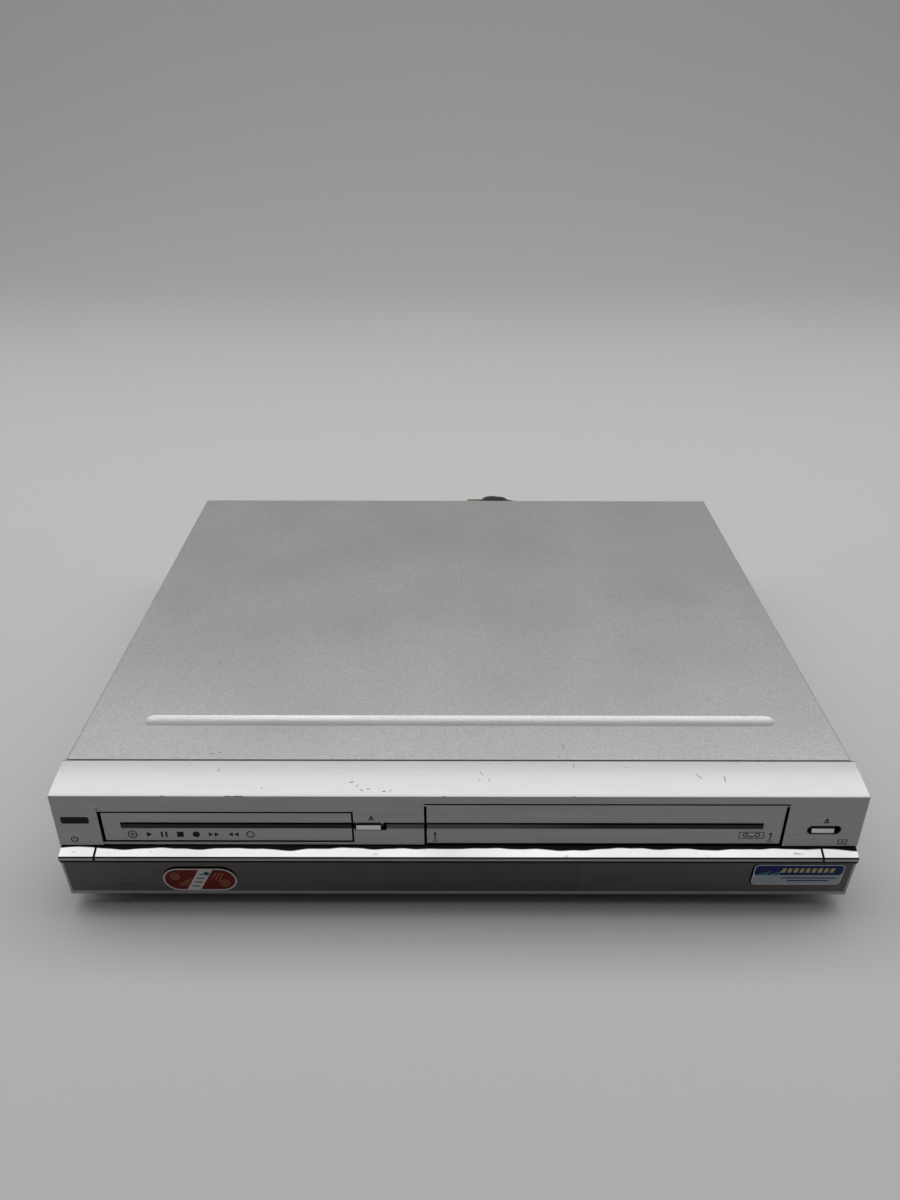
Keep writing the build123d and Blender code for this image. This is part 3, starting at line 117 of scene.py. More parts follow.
def on_wall(x, y, z, out):
    """A place on an upright surface that looks along out."""
    return axes_at(Vector((x, y, z)) * MM, UP, out)


def on_door(x, z):
    return on_wall(x, DOOR_Y / MM, z, TO_FRONT)


def on_bevel(x, share):
    """A place on the curved bevel; share runs from 0 at the seam to 1 at the front edge."""
    run, drop = SEAM.y - FACE_TOP.y, SEAM.z - FACE_TOP.z
    start = math.atan(BEVEL_LEAD)
    turn = 2 * (math.atan2(drop, run) - start)
    radius = math.hypot(run, drop) / (2 * math.sin(turn / 2))
    centre = Vector((x * MM, SEAM.y + radius * math.sin(start), SEAM.z - radius * math.cos(start)))
    angle = start + turn * share
    out = Vector((0, -math.sin(angle), math.cos(angle)))
    up = Vector((0, math.cos(angle), math.sin(angle)))
    return axes_at(centre + out * radius, up, out)


def on_lid(x, y):
    return axes_at(Vector((x * MM, y * MM, SEAM.z)), TO_REAR, UP)


# ------------------------------------------------------------------ node materials
RANGE_SOCKETS = ("From Min", "From Max", "To Min", "To Max")


class NodeTree:
    """Adds nodes to a tree, starting from one of the texture coordinates."""

    def __init__(self, tree, coordinate):
        self.tree = tree
        self.place = self.add("ShaderNodeTexCoord").outputs[coordinate]

    def add(self, kind, **settings):
        node = self.tree.nodes.new(kind)
        for name, value in settings.items():
            setattr(node, name, value)
        return node

    def join(self, source, node, socket):
        """Links a socket, or sets it where source is a plain value."""
        if hasattr(source, "is_linked"):
            self.tree.links.new(source, node.inputs[socket])
        else:
            node.inputs[socket].default_value = source

    def spread(self, value, low, high, to_low=0.0, to_high=1.0):
        """A value between low and high, spread to a new range and held at its ends."""
        node = self.add("ShaderNodeMapRange")
        self.join(value, node, "Value")
        for socket, number in zip(RANGE_SOCKETS, (low, high, to_low, to_high)):
            node.inputs[socket].default_value = number
        return node.outputs["Result"]

    def maths(self, kind, a, b=0.0):
        node = self.add("ShaderNodeMath", operation=kind)
        self.join(a, node, 0)
        self.join(b, node, 1)
        return node.outputs[0]

    def times(self, a, b):
        return self.maths("MULTIPLY", a, b)

    def larger(self, a, b):
        return self.maths("MAXIMUM", a, b)

    def axis(self, name):
        node = self.add("ShaderNodeSeparateXYZ")
        self.join(self.place, node, "Vector")
        return node.outputs[name]


class Finish(NodeTree):
    """A node material built round one Principled shader."""

    def __init__(self, name, colour, roughness, metallic=0.0, **sockets):
        self.material = bpy.data.materials.new(name)
        self.material.use_nodes = True
        super().__init__(self.material.node_tree, "Object")
        self.shader = self.tree.nodes["Principled BSDF"]
        self.set("Base Color", (*colour, 1.0))
        self.set("Roughness", roughness)
        self.set("Metallic", metallic)
        for socket, value in sockets.items():
            self.set(socket.replace("_", " "), value)

    def set(self, socket, value):
        self.shader.inputs[socket].default_value = value

    def noise(self, grain, detail=2.0, stretch=(1, 1, 1), turn=(0, 0, 0), shift=(0, 0, 0)):
        """Noise whose blotches are about grain metres across."""
        mapping = self.add("ShaderNodeMapping")
        self.join(self.place, mapping, "Vector")
        for socket, value in (("Scale", stretch), ("Rotation", turn), ("Location", shift)):
            mapping.inputs[socket].default_value = value
        node = self.add("ShaderNodeTexNoise")
        self.join(mapping.outputs["Vector"], node, "Vector")
        node.inputs["Scale"].default_value = 1.0 / grain
        node.inputs["Detail"].default_value = detail
        return node.outputs["Fac"]

    def aside(self):
        """How far a point lies left or right of the middle of the case."""
        return self.maths("ABSOLUTE", self.axis("X"))

    def band(self, axis, low, high, soft):
        """1 between two places along an axis, 0 outside them."""
        rise = self.spread(self.axis(axis), low - soft, low + soft)
        fall = self.spread(self.axis(axis), high - soft, high + soft, 1.0, 0.0)
        return self.times(rise, fall)

    def face_depth(self):
        """How far a point lies behind the leaning face, in metres."""
        behind = self.times(self.maths("SUBTRACT", self.axis("Y"), FACE_TOP.y), -FACE_OUT.y)
        under = self.times(self.maths("SUBTRACT", self.axis("Z"), FACE_TOP.z), -FACE_OUT.z)
        return self.maths("ADD", behind, under)

    def scratches(self, share, length, width, turn, shift):
        """Thin straight streaks; a larger share leaves fewer of them."""
        streaks = self.noise(width, 1.0, (width / length, 1, 1), (0, 0, turn), shift)
        return self.spread(streaks, share, share + 0.03)

    def blend(self, share, first, second):
        node = self.add("ShaderNodeMix", data_type="RGBA")
        self.join(share, node, 0)
        for socket, value in ((6, first), (7, second)):
            self.join(value if hasattr(value, "is_linked") else (*value, 1.0), node, socket)
        return node.outputs[2]

    def paint(self, colour):
        self.tree.links.new(colour, self.shader.inputs["Base Color"])

    def shine(self, roughness):
        self.tree.links.new(roughness, self.shader.inputs["Roughness"])

    def rounded(self, radius):
        """Normals that look as if every sharp edge were rounded a little."""
        node = self.add("ShaderNodeBevel", samples=4)
        node.inputs["Radius"].default_value = radius
        return node.outputs["Normal"]

    def bump(self, height, depth, under=None):
        """Height from 0 to 1 raised by depth metres."""
        node = self.add("ShaderNodeBump")
        node.inputs["Distance"].default_value = depth
        self.join(height, node, "Height")
        if under is not None:
            self.tree.links.new(under, node.inputs["Normal"])
        self.tree.links.new(node.outputs["Normal"], self.shader.inputs["Normal"])


def shade(colour, factor):
    return tuple(min(1.0, part * factor) for part in colour)


def speckled(name, colour, roughness, metallic, grain, contrast, depth, edge=0.15 * MM, **sockets):
    """A finish with a fine grain in colour, gloss and relief, and broad uneven patches."""
    finish = Finish(name, colour, roughness, metallic, **sockets)
    fine = finish.spread(finish.noise(grain, 3.0), 0.3, 0.7)
    broad = finish.spread(finish.noise(grain * 120, 4.0), 0.3, 0.7)
    tone = finish.blend(fine, shade(colour, 1 - contrast), shade(colour, 1 + contrast))
    patch = finish.blend(finish.times(broad, 0.35), tone, shade(colour, 1 - contrast * 0.6))
    finish.paint(patch)
    finish.shine(finish.spread(broad, 0.0, 1.0, roughness * 0.92, roughness * 1.08))
    finish.bump(fine, depth, under=finish.rounded(edge))
    return finish


def ink(name, colour, roughness=0.5, gloss=0.5):
    return speckled(name, colour, roughness, 0.0, 0.3 * MM, 0.08, 0.002 * MM, edge=0.01 * MM,
                    Specular_IOR_Level=gloss)


# ------------------------------------------------------------------ outlines, in millimetres
ROUND_STEPS = 32


def polar(centre, radius, angle):
    """The point at this radius and angle round a centre."""
    return centre[0] + radius * math.cos(angle), centre[1] + radius * math.sin(angle)


def rounded_box(width, height, corner, centre=(0, 0)):
    points = []
    steps = 8
    for quarter, (sx, sy) in enumerate(((1, 1), (-1, 1), (-1, -1), (1, -1))):
        middle = (centre[0] + sx * (width / 2 - corner), centre[1] + sy * (height / 2 - corner))
        for step in range(steps + 1):
            points.append(polar(middle, corner, math.pi / 2 * (quarter + step / steps)))
    return points


def disc(radius, centre=(0, 0), steps=28):
    return [polar(centre, radius, 2 * math.pi * step / steps) for step in range(steps)]


def bar(x0, y0, x1, y1, slant=0.0):
    """A box; slant shifts its upper edge sideways."""
    return [(x0, y0), (x1, y0), (x1 + slant, y1), (x0 + slant, y1)]


def arrow_head(x, y, size, direction=(0, 1)):
    """A triangle that points along a direction."""
    dx, dy = direction[0] * size, direction[1] * size
    back_x, back_y = x - 0.4 * dx, y - 0.4 * dy
    return [(x + dx, y + dy), (back_x - 0.8 * dy, back_y + 0.8 * dx),
            (back_x + 0.8 * dy, back_y - 0.8 * dx)]


def arc(radius, width, start, end, centre=(0, 0)):
    """Part of a ring, from one angle in degrees to another."""
    steps = 20
    angles = [math.radians(start + (end - start) * step / steps) for step in range(steps + 1)]
    sides = ((radius + width / 2, angles), (radius - width / 2, reversed(angles)))
    return [polar(centre, r, a) for r, side in sides for a in side]


def ring(radius, width, centre=(0, 0)):
    """A whole ring, but for a slit too thin to see."""
    return arc(radius, width, 0, 359.9, centre)


def frame_lines(width, height, line, centre=(0, 0)):
    """The four sides of a thin rectangle."""
    x, y = width / 2, height / 2
    cx, cy = centre
    return [bar(cx - x, cy - y, cx + x, cy - y + line), bar(cx - x, cy + y - line, cx + x, cy + y),
            bar(cx - x, cy - y + line, cx - x + line, cy + y - line),
            bar(cx + x - line, cy - y + line, cx + x, cy + y - line)]


# ------------------------------------------------------------------ pieces built from outlines
# Height of a printed mark in millimetres, and the angle in degrees past which an edge stays sharp.
PRINT = 0.02
SHARP = 40.0


class Piece:
    """A mesh put together from closed shapes, each with its own finish."""

    def __init__(self, name):
        self.name = name
        self.bm = bmesh.new()
        self.finishes = []

    def index(self, finish):
        if finish not in self.finishes:
            self.finishes.append(finish)
        return self.finishes.index(finish)

    def loop(self, points, place):
        return [self.bm.verts.new(place @ (Vector(point) * MM)) for point in points]

    def flat_loop(self, outline, place, level):
        """An outline at one level over the place."""
        return self.loop([(x, y, level) for x, y in outline], place)

    def skin(self, loops, finish, smooth, closed=True):
        """Joins loops of equal length in order and closes the first and last."""
        index = self.index(finish)
        faces = []
        for low, high in zip(loops, loops[1:]):
            for i in range(len(low)):
                j = (i + 1) % len(low)
                face = self.bm.faces.new((low[i], low[j], high[j], high[i]))
                face.smooth = smooth
                faces.append(face)
        if closed:
            faces += [self.bm.faces.new(list(reversed(loops[0]))), self.bm.faces.new(loops[-1])]
        for face in faces:
            face.material_index = index

    def prism(self, outline, place, finish, high=PRINT, low=0.0):
        """An outline raised from low to high millimetres."""
        self.skin([self.flat_loop(outline, place, level) for level in (low, high)], finish, False)

    def prisms(self, outlines, place, finish, high=PRINT, low=0.0):
        for outline in outlines:
            self.prism(outline, place, finish, high, low)

    def turned(self, profile, place, finish, closed=True, steps=ROUND_STEPS):
        """A profile of (radius, level) points turned about the place's third axis."""
        loops = [self.flat_loop(disc(radius, steps=steps), place, level) for radius, level in profile]
        self.skin(loops, finish, True, closed)
        return loops

    def tube(self, inner, outer, place, finish, low, high):
        profile = ((inner, low), (outer, low), (outer, high), (inner, high), (inner, low))
        self.turned(profile, place, finish, closed=False)

    def done(self, body, slot=None, replaced=(), sharp=SHARP):
        bmesh.ops.remove_doubles(self.bm, verts=self.bm.verts, dist=1e-7)
        bmesh.ops.recalc_face_normals(self.bm, faces=self.bm.faces)
        for edge in self.bm.edges:
            if len(edge.link_faces) == 2 and edge.calc_face_angle(0.0) > math.radians(sharp):
                edge.smooth = False
        mesh = bpy.data.meshes.new(self.name)
        self.bm.to_mesh(mesh)
        self.bm.free()
        for finish in self.finishes:
            mesh.materials.append(finish.material)
        thing = new_object(self.name, mesh)
        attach(thing, body)
        if replaced:
            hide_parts(*replaced)
        return thing


# ------------------------------------------------------------------ finishes of the main surfaces
# Colours, then the places in metres where a surface changes its colour.
# Near black, painted as shade into gaps, seams and recesses, and as a painted reflection on the chrome.
SHADE_AND_REFLECTION_BLACK = (0.012, 0.012, 0.012)
# One silver paint in two tones: darker on the face as painted shade, paler on the bevel as painted light
# from above.
FACE_PAINT_SHADED = (0.31, 0.31, 0.314)
BEVEL_PAINT_LIT = (0.42, 0.42, 0.415)
HALF_WIDTH = 215.0 * MM
PLATE_BRIGHT_TOP = 40.1 * MM
PLATE_SEAM = (38.1 * MM, 38.5 * MM)
PLATE_FOOT = 36.5 * MM
PLATE_JOINT_X = 196.05 * MM
DOOR_RIM_TOP = 33.9 * MM
FLAP_RIM = 0.45 * MM
OPEN_CLOSE_LIP_TOP = 54.4 * MM
EJECT_LIP_TOP = 52.6 * MM
DISPLAY_X = (-40.4 * MM, 66 * MM)
OVAL_X = (74.6 * MM, 94.9 * MM)
OVAL_Z = (19 * MM, 25 * MM)


def lid_paint():
    """Metallic paint with a pebbly grain, a few long scratches, soft patches of wear, and painted shade
    at the seam.
    """
    colour = (0.60, 0.60, 0.59)
    finish = Finish("lid_paint", colour, 0.40, 0.75)
    pebble = finish.spread(finish.noise(1.1 * MM, 3.0), 0.3, 0.7)
    fine = finish.spread(finish.noise(0.35 * MM, 2.0), 0.3, 0.7)
    tone = finish.blend(pebble, shade(colour, 0.85), shade(colour, 1.15))
    tone = finish.blend(finish.times(fine, 0.3), tone, shade(colour, 0.8))
    wear = finish.spread(finish.noise(70 * MM, 4.0), 0.35, 0.7)
    tone = finish.blend(finish.times(wear, 0.18), tone, shade(colour, 1.12))
    lines = finish.larger(finish.scratches(0.70, 45 * MM, 0.5 * MM, 0.35, (0.1, 0, 0)),
                         finish.scratches(0.71, 30 * MM, 0.5 * MM, -1.1, (0, 0.2, 0)))
    patchy = finish.spread(finish.noise(50 * MM, 1.0, shift=(0.3, 0.1, 0)), 0.5, 0.62)
    lines = finish.times(lines, patchy)
    tone = finish.blend(finish.times(lines, 0.35), tone, shade(colour, 1.45))
    # Painted shade: the lid's front edge turns black towards the seam gap.
    edge = finish.spread(finish.axis("Y"), SEAM.y + 0.6 * MM, SEAM.y + 1.0 * MM, 0.85, 0.0)
    finish.paint(finish.blend(edge, tone, SHADE_AND_REFLECTION_BLACK))
    finish.shine(finish.spread(wear, 0.0, 1.0, 0.45, 0.39))
    finish.bump(pebble, 0.035 * MM, under=finish.rounded(0.4 * MM))
    return finish


def panel_paint(name, rim=None):
    """Metallic paint, paler on the bevel as painted light and darker on the face as painted shade:
    streaks on the face, specks and scratches on the bevel.

    Faces deep in a gap, the bevel's back edge and what lies above rim, a height in metres, are painted
    black as painted shade.
    """
    finish = Finish(name, FACE_PAINT_SHADED, 0.30, 0.85)
    streak = finish.spread(finish.noise(0.9 * MM, 3.0, (0.01, 1, 1)), 0.35, 0.65)
    tone = finish.blend(streak, shade(FACE_PAINT_SHADED, 0.95), shade(FACE_PAINT_SHADED, 1.05))
    # The bevel takes the paler tone as painted light from above, the face the darker one as painted
    # shade.
    bevel = finish.spread(finish.axis("Z"), FACE_TOP.z, FACE_TOP.z + 0.3 * MM)
    cloud = finish.spread(finish.noise(9 * MM, 5.0, (0.35, 1, 1)), 0.35, 0.7)
    pale = finish.blend(cloud, shade(BEVEL_PAINT_LIT, 0.96), shade(BEVEL_PAINT_LIT, 1.05))
    tone = finish.blend(bevel, tone, pale)
    specks = finish.spread(finish.noise(0.8 * MM, 4.0), 0.70, 0.74)
    clusters = finish.spread(finish.noise(26 * MM, 1.0), 0.55, 0.66)
    specks = finish.times(finish.times(specks, clusters), bevel)
    lines = finish.scratches(0.73, 9 * MM, 0.35 * MM, 0.9, (0.05, 0.3, 0))
    lines = finish.times(finish.times(lines, clusters), bevel)
    worn = finish.larger(specks, finish.times(lines, 0.6))
    tone = finish.blend(finish.times(worn, 0.8), tone, (0.10, 0.10, 0.10))
    # Painted shade: black in gaps behind the face, along the flap's top rim and at the bevel's back edge
    # by the seam.
    sunk = finish.spread(finish.face_depth(), INSET + 0.12 * MM, INSET + 0.35 * MM)
    below = finish.spread(finish.axis("Z"), FACE_TOP.z - 1.2 * MM, FACE_TOP.z - 0.9 * MM, 1.0, 0.0)
    inward = finish.spread(finish.aside(), HALF_WIDTH - 0.8 * MM, HALF_WIDTH - 0.4 * MM, 1.0, 0.0)
    painted_gap_shade = finish.times(finish.times(sunk, below), inward)
    if rim is not None:
        painted_gap_shade = finish.larger(painted_gap_shade, finish.spread(finish.axis("Z"), rim, rim + 0.1 * MM))
    back = finish.spread(finish.axis("Y"), SEAM.y - 0.6 * MM, SEAM.y - 0.3 * MM, 0.0, 0.8)
    finish.paint(finish.blend(finish.larger(painted_gap_shade, back), tone, SHADE_AND_REFLECTION_BLACK))
    finish.shine(finish.spread(cloud, 0.0, 1.0, 0.27, 0.32))
    finish.bump(streak, 0.002 * MM, under=finish.rounded(0.25 * MM))
    return finish


def chrome_plate():
    """Plating, bright in the middle of its slope, with a painted reflection as a wavy dark band above, a
    ledge darkened as painted shade, and seams in painted shade below.
    """
    colour = (0.86, 0.86, 0.87)
    shaded_ledge_grey = (0.26, 0.26, 0.26)
    finish = Finish("chrome_plate", colour, 0.06, 1.0)
    stain = finish.spread(finish.noise(5 * MM, 3.0, (0.5, 1, 1)), 0.66, 0.8)
    tone = finish.blend(finish.times(stain, 0.6), colour, shade(colour, 0.4))
    cloudy = finish.spread(finish.noise(70 * MM, 2.0, (1, 0, 0), shift=(0.4, 0, 0)), 0.4, 0.65)
    tone = finish.blend(finish.times(cloudy, 0.4), tone, shade(colour, 0.55))
    wave = finish.spread(finish.noise(38 * MM, 2.0, (1, 0, 0)), 0.3, 0.7, -0.5 * MM, 0.5 * MM)
    level = finish.maths("ADD", finish.axis("Z"), wave)
    # Painted reflection: a wavy dark band above the bright slope.
    painted_reflection = finish.spread(level, PLATE_BRIGHT_TOP, PLATE_BRIGHT_TOP + 0.2 * MM)
    soft = 0.05 * MM
    # Painted shade: the ledge below the seam in a darker grey.
    ledge = finish.spread(finish.axis("Z"), PLATE_SEAM[0] - soft, PLATE_SEAM[0] + soft, 0.85, 0.0)
    tone = finish.blend(ledge, tone, shaded_ledge_grey)
    # Painted shade in the seam, the joint between the plates and the foot.
    seam = finish.band("Z", *PLATE_SEAM, soft)
    from_joint = finish.maths("ABSOLUTE", finish.maths("SUBTRACT", finish.aside(), PLATE_JOINT_X))
    joint = finish.spread(from_joint, 0.55 * MM, 0.7 * MM, 1.0, 0.0)
    foot = finish.spread(finish.axis("Z"), PLATE_FOOT - 0.3 * MM, PLATE_FOOT, 1.0, 0.0)
    dark = finish.larger(finish.larger(painted_reflection, seam), finish.larger(joint, foot))
    finish.paint(finish.blend(dark, tone, SHADE_AND_REFLECTION_BLACK))
    finish.shine(finish.larger(finish.spread(stain, 0.0, 1.0, 0.06, 0.25), finish.times(dark, 0.4)))
    finish.bump(finish.noise(20 * MM, 2.0), 0.05 * MM)
    return finish


def door_paint():
    """Silver on the front of the door's rim, with painted shade along its top and behind."""
    finish = Finish("door_paint", FACE_PAINT_SHADED, 0.32, 0.85)
    grain = finish.noise(0.5 * MM, 2.0)
    tone = finish.blend(grain, shade(FACE_PAINT_SHADED, 0.85), shade(FACE_PAINT_SHADED, 1.1))
    # Painted shade along the rim's top and on its inner faces.
    top = finish.spread(finish.axis("Z"), DOOR_RIM_TOP - 0.2 * MM, DOOR_RIM_TOP)
    inside = finish.spread(finish.axis("Y"), DOOR_Y + 0.3 * MM, DOOR_Y + 0.6 * MM)
    finish.paint(finish.blend(finish.larger(top, inside), tone, SHADE_AND_REFLECTION_BLACK))
    finish.bump(grain, 0.002 * MM, under=finish.rounded(0.2 * MM))
    return finish


def lip_paint_with_shade(name, lip_top):
    """A silver button, lit on its lip, with painted shade where it falls back above it."""
    colour = (0.72, 0.72, 0.72)
    finish = Finish(name, colour, 0.20, 0.85)
    grain = finish.noise(0.3 * MM, 2.0)
    # Painted shade above the lip, which is also rougher there.
    above = finish.spread(finish.axis("Z"), lip_top, lip_top + 0.15 * MM)
    tone = finish.blend(grain, shade(colour, 0.95), shade(colour, 1.05))
    finish.paint(finish.blend(above, tone, SHADE_AND_REFLECTION_BLACK))
    finish.shine(finish.spread(above, 0.0, 1.0, 0.20, 0.45))
    finish.bump(grain, 0.002 * MM, under=finish.rounded(0.1 * MM))
    return finish


def smoked_lens():
    """Smoked acrylic: paler at both ends, darker in front of the display, with a faint oval."""
    ends, middle, window = (0.070, 0.060, 0.051), (0.052, 0.044, 0.036), (0.038, 0.031, 0.025)
    finish = Finish("smoked_acrylic", middle, 0.10, 0.0)
    grain = finish.spread(finish.noise(18 * MM, 3.0, (0.3, 1, 1)), 0.3, 0.7)
    reach = finish.spread(finish.aside(), 60 * MM, 190 * MM)
    tone = finish.blend(reach, middle, ends)
    display = finish.band("X", *DISPLAY_X, 1.0 * MM)
    tone = finish.blend(finish.times(display, 0.8), tone, window)
    oval = finish.times(finish.band("X", *OVAL_X, 1.5 * MM), finish.band("Z", *OVAL_Z, 1.2 * MM))
    tone = finish.blend(finish.times(oval, 0.5), tone, window)
    finish.paint(finish.blend(finish.times(grain, 0.12), tone, shade(middle, 1.2)))
    finish.shine(finish.spread(grain, 0.0, 1.0, 0.09, 0.12))
    finish.bump(grain, 0.004 * MM, under=finish.rounded(0.2 * MM))
    return finish


# slot: name, colour, roughness, metallic, grain in mm, contrast, depth in mm
PLAIN_FINISHES = {
    "button_silver": ("button_paint", (0.70, 0.70, 0.70), 0.22, 0.8, 0.3, 0.03, 0.002),
    "dark_plastic": ("dark_moulding", (0.03, 0.03, 0.033), 0.42, 0.0, 0.6, 0.15, 0.01),
    "grey_plastic": ("grey_moulding", (0.55, 0.55, 0.53), 0.40, 0.0, 0.6, 0.05, 0.01),
    "zinc_steel": ("zinc_plate", (0.60, 0.60, 0.58), 0.33, 0.95, 3.0, 0.10, 0.004),
    "polished_steel": ("polished_steel", (0.75, 0.75, 0.75), 0.12, 1.0, 0.5, 0.03, 0.001),
    "aluminium": ("turned_aluminium", (0.72, 0.72, 0.73), 0.25, 1.0, 0.3, 0.04, 0.002),
    "copper_core": ("core_lacquer", (0.22, 0.13, 0.06), 0.45, 0.2, 0.6, 0.2, 0.02),
    "board_green": ("board_resist", (0.04, 0.15, 0.06), 0.35, 0.0, 1.5, 0.25, 0.02),
    "display_glass": ("display_glass", (0.02, 0.026, 0.026), 0.06, 0.0, 2.0, 0.1, 0.001),
    "foot_rubber": ("foot_rubber", (0.03, 0.03, 0.03), 0.7, 0.0, 0.8, 0.2, 0.03),
    "cord_rubber": ("cord_rubber_finish", (0.022, 0.022, 0.023), 0.45, 0.0, 0.4, 0.25, 0.01),
    "nickel": ("nickel_plate", (0.72, 0.70, 0.66), 0.18, 1.0, 0.5, 0.04, 0.002),
}


def slot_finishes():
    finishes = {"silver_lid": lid_paint(), "silver_panel": panel_paint("panel_paint"),
                "chrome": chrome_plate(), "smoked_lens": smoked_lens()}
    for slot, (name, colour, roughness, metallic, grain, contrast, depth) in PLAIN_FINISHES.items():
        finishes[slot] = speckled(name, colour, roughness, metallic, grain * MM, contrast, depth * MM)
    return finishes


def dress(node, finish):
    mesh = nodes[node].data
    mesh.materials.clear()
    mesh.materials.append(finish.material)


# ------------------------------------------------------------------ front of the case
# Ends of each inlay across the face, in millimetres.
TRAY_INLAY = (-180.4, -57.4)
MIDDLE_INLAY = (-38.6, -18.6)
FLAP_INLAY = (-17.1, 162.1)
INLAY_GAP = 1.3
INLAY_THICKNESS = 1.15
CREST_RUN = 0.4


def inlay_gloss(name, pale, start, end):
    """Piano gloss with a painted reflection, pale at start and fading to black at end, in millimetres
    across.
    """
    black = (0.004, 0.004, 0.004)
    finish = Finish(name, black, 0.05, Specular_IOR_Level=0.25)
    # Painted reflection: the base colour fades from pale to black across the inlay.
    reflection_fade = finish.spread(finish.axis("X"), start * MM, end * MM)
    finish.paint(finish.blend(reflection_fade, pale, black))
    dust = finish.spread(finish.noise(1.5 * MM, 4.0, (0.4, 1, 1)), 0.6, 0.8)
    finish.shine(finish.spread(dust, 0.0, 1.0, 0.05, 0.11))
    finish.bump(dust, 0.002 * MM)
    return finish


def make_inlay(name, body, xs, crest, finish):
    """A glossy bar in the groove; crest gives the radius of its upper edge at its start and end.

    The radius changes over the first share of the length, CREST_RUN.
    """
    low, high = GROOVE_Z[0] + 0.15, GROOVE_Z[1] - INLAY_GAP
    height = high - low
    piece = Piece(name)
    steps, rounding = 24, 8
    loops = []
    for step in range(steps + 1):
        share = step / steps
        x = xs[0] + (xs[1] - xs[0]) * share
        radius = crest[0] + (crest[1] - crest[0]) * min(1.0, share / CREST_RUN)
        place = on_face(x, low, GROOVE_DEPTH * MM)
        profile = [(0, 0.05), (0, 0.9), (height * 0.4, 1.12), (height - radius, INLAY_THICKNESS)]
        for part in range(1, rounding + 1):
            turn = math.pi / 2 * part / rounding
            short_up, short_out = radius * (1 - math.sin(turn)), radius * (1 - math.cos(turn))
            profile.append((height - short_up, INLAY_THICKNESS - short_out))
        profile.append((height, 0.05))
        loops.append(piece.loop([(0, up, out) for up, out in profile], place))
    piece.skin(loops, finish, True)
    piece.done(body, sharp=50.0)


def make_inlays():
    # Pale start colours of the painted reflections on the inlays.
    tray = inlay_gloss("tray_inlay_gloss", (0.012, 0.012, 0.012), -180, -120)
    flap = inlay_gloss("flap_inlay_gloss", (0.13, 0.125, 0.108), 20, 75)
    make_inlay("tray_inlay", "disc_tray", TRAY_INLAY, (0.10, 0.80), tray)
    make_inlay("middle_inlay", "casing", MIDDLE_INLAY, (0.15, 0.15), flap)
    make_inlay("flap_inlay", "cassette_flap", FLAP_INLAY, (0.15, 0.15), flap)


# On the bevel: across in mm, share of the way down, length, width, angle in degrees.
BEVEL_CHIPS = [
    (-57, 0.62, 2.6, 0.5, 20), (-54, 0.72, 2.0, 0.35, 70), (-51.5, 0.83, 2.4, 0.4, -30),
    (-48, 0.80, 1.6, 0.5, 10), (-39.5, 0.86, 2.2, 0.5, 5), (-36, 0.84, 1.8, 0.35, 40),
    (12, 0.38, 3.0, 0.3, -55), (16, 0.55, 2.6, 0.35, -60), (11, 0.55, 1.2, 0.4, 15),
    (128, 0.45, 4.4, 0.4, -50), (141.5, 0.52, 4.6, 0.45, 88), (62, 0.16, 3.6, 0.3, 85),
    (-129, 0.30, 2.6, 0.35, 60), (-104, 0.78, 1.6, 0.35, 35), (90, 0.20, 1.4, 0.3, 10),
]
# On the bevel's front edge: across and length.
EDGE_CHIPS = [(-155.5, 1.8), (-121, 3.4), (-115.5, 5.0), (-8, 1.6), (60, 1.4)]
# On the lid: x, y, length, width, angle.
LID_MARKS = [
    (-136, -143, 3.2, 0.5, 8), (-131, -142, 1.6, 0.7, 60), (58, -137, 6.5, 0.35, 84),
    (-60, 60, 9, 0.3, 25), (110, 20, 14, 0.25, -40), (-150, -60, 7, 0.3, 70),
]
# Levels in millimetres between which a chip reaches.
SUNK = -0.05
PROUD = 0.012


def turned_place(place, degrees):
    return place @ Matrix.Rotation(math.radians(degrees), 4, "Z")


def make_wear(dark):
    """Chips and short scratches that the bevel and the lid have picked up."""
    piece = Piece("bevel_wear")
    for x, share, length, width, angle in BEVEL_CHIPS:
        outline = [(-length / 2, 0), (-length / 6, -width / 2), (length / 3, -width / 2.5),
                   (length / 2, width / 6), (length / 8, width / 2), (-length / 3, width / 3)]
        piece.prism(outline, turned_place(on_bevel(x, share), angle), dark, PROUD, SUNK)
    for x, length in EDGE_CHIPS:
        piece.prism(bar(-length / 2, -0.15, length / 2, 0.35), on_bevel(x, 1.0), dark, 0.03, SUNK)
    piece.done("casing")
    scuffs = Piece("lid_wear")
    for x, y, length, width, angle in LID_MARKS:
        outline = [(-length / 2, 0), (0, -width / 2), (length / 2, 0), (0, width / 2)]
        scuffs.prism(outline, turned_place(on_lid(x, y), angle), dark, PROUD, SUNK)
    scuffs.done("casing")


def make_front_marks(dark):
    """Generic symbols on the front, and a plain dark plate at its upper left."""
    piece = Piece("front_marks")
    power = on_face(-206.4, 46.0)
    piece.prism(arc(1.7, 0.6, 125, 415), power, dark)
    piece.prism(bar(-0.3, 0.4, 0.3, 2.5), power, dark)
    source = on_face(206.4, 45.0)
    piece.prisms(frame_lines(5.0, 3.2, 0.5), source, dark)
    piece.prism(arrow_head(0.1, 0, 1.0, (1, 0)), source, dark)
    for x, z, depth in ((-46.7, 60.2, INSET), (195.3, 59.3, 0.0)):
        place = on_face(x, z, depth)
        piece.prism(arrow_head(0, 0.3, 1.6), place, dark)
        piece.prism(bar(-1.6, -1.5, 1.6, -0.8), place, dark)
    piece.done("casing")
    badge = Piece("front_badge")
    badge.prism(rounded_box(15.0, 4.4, 1.2), on_face(-204.0, 59.0), dark, 0.05)
    badge.done("casing")


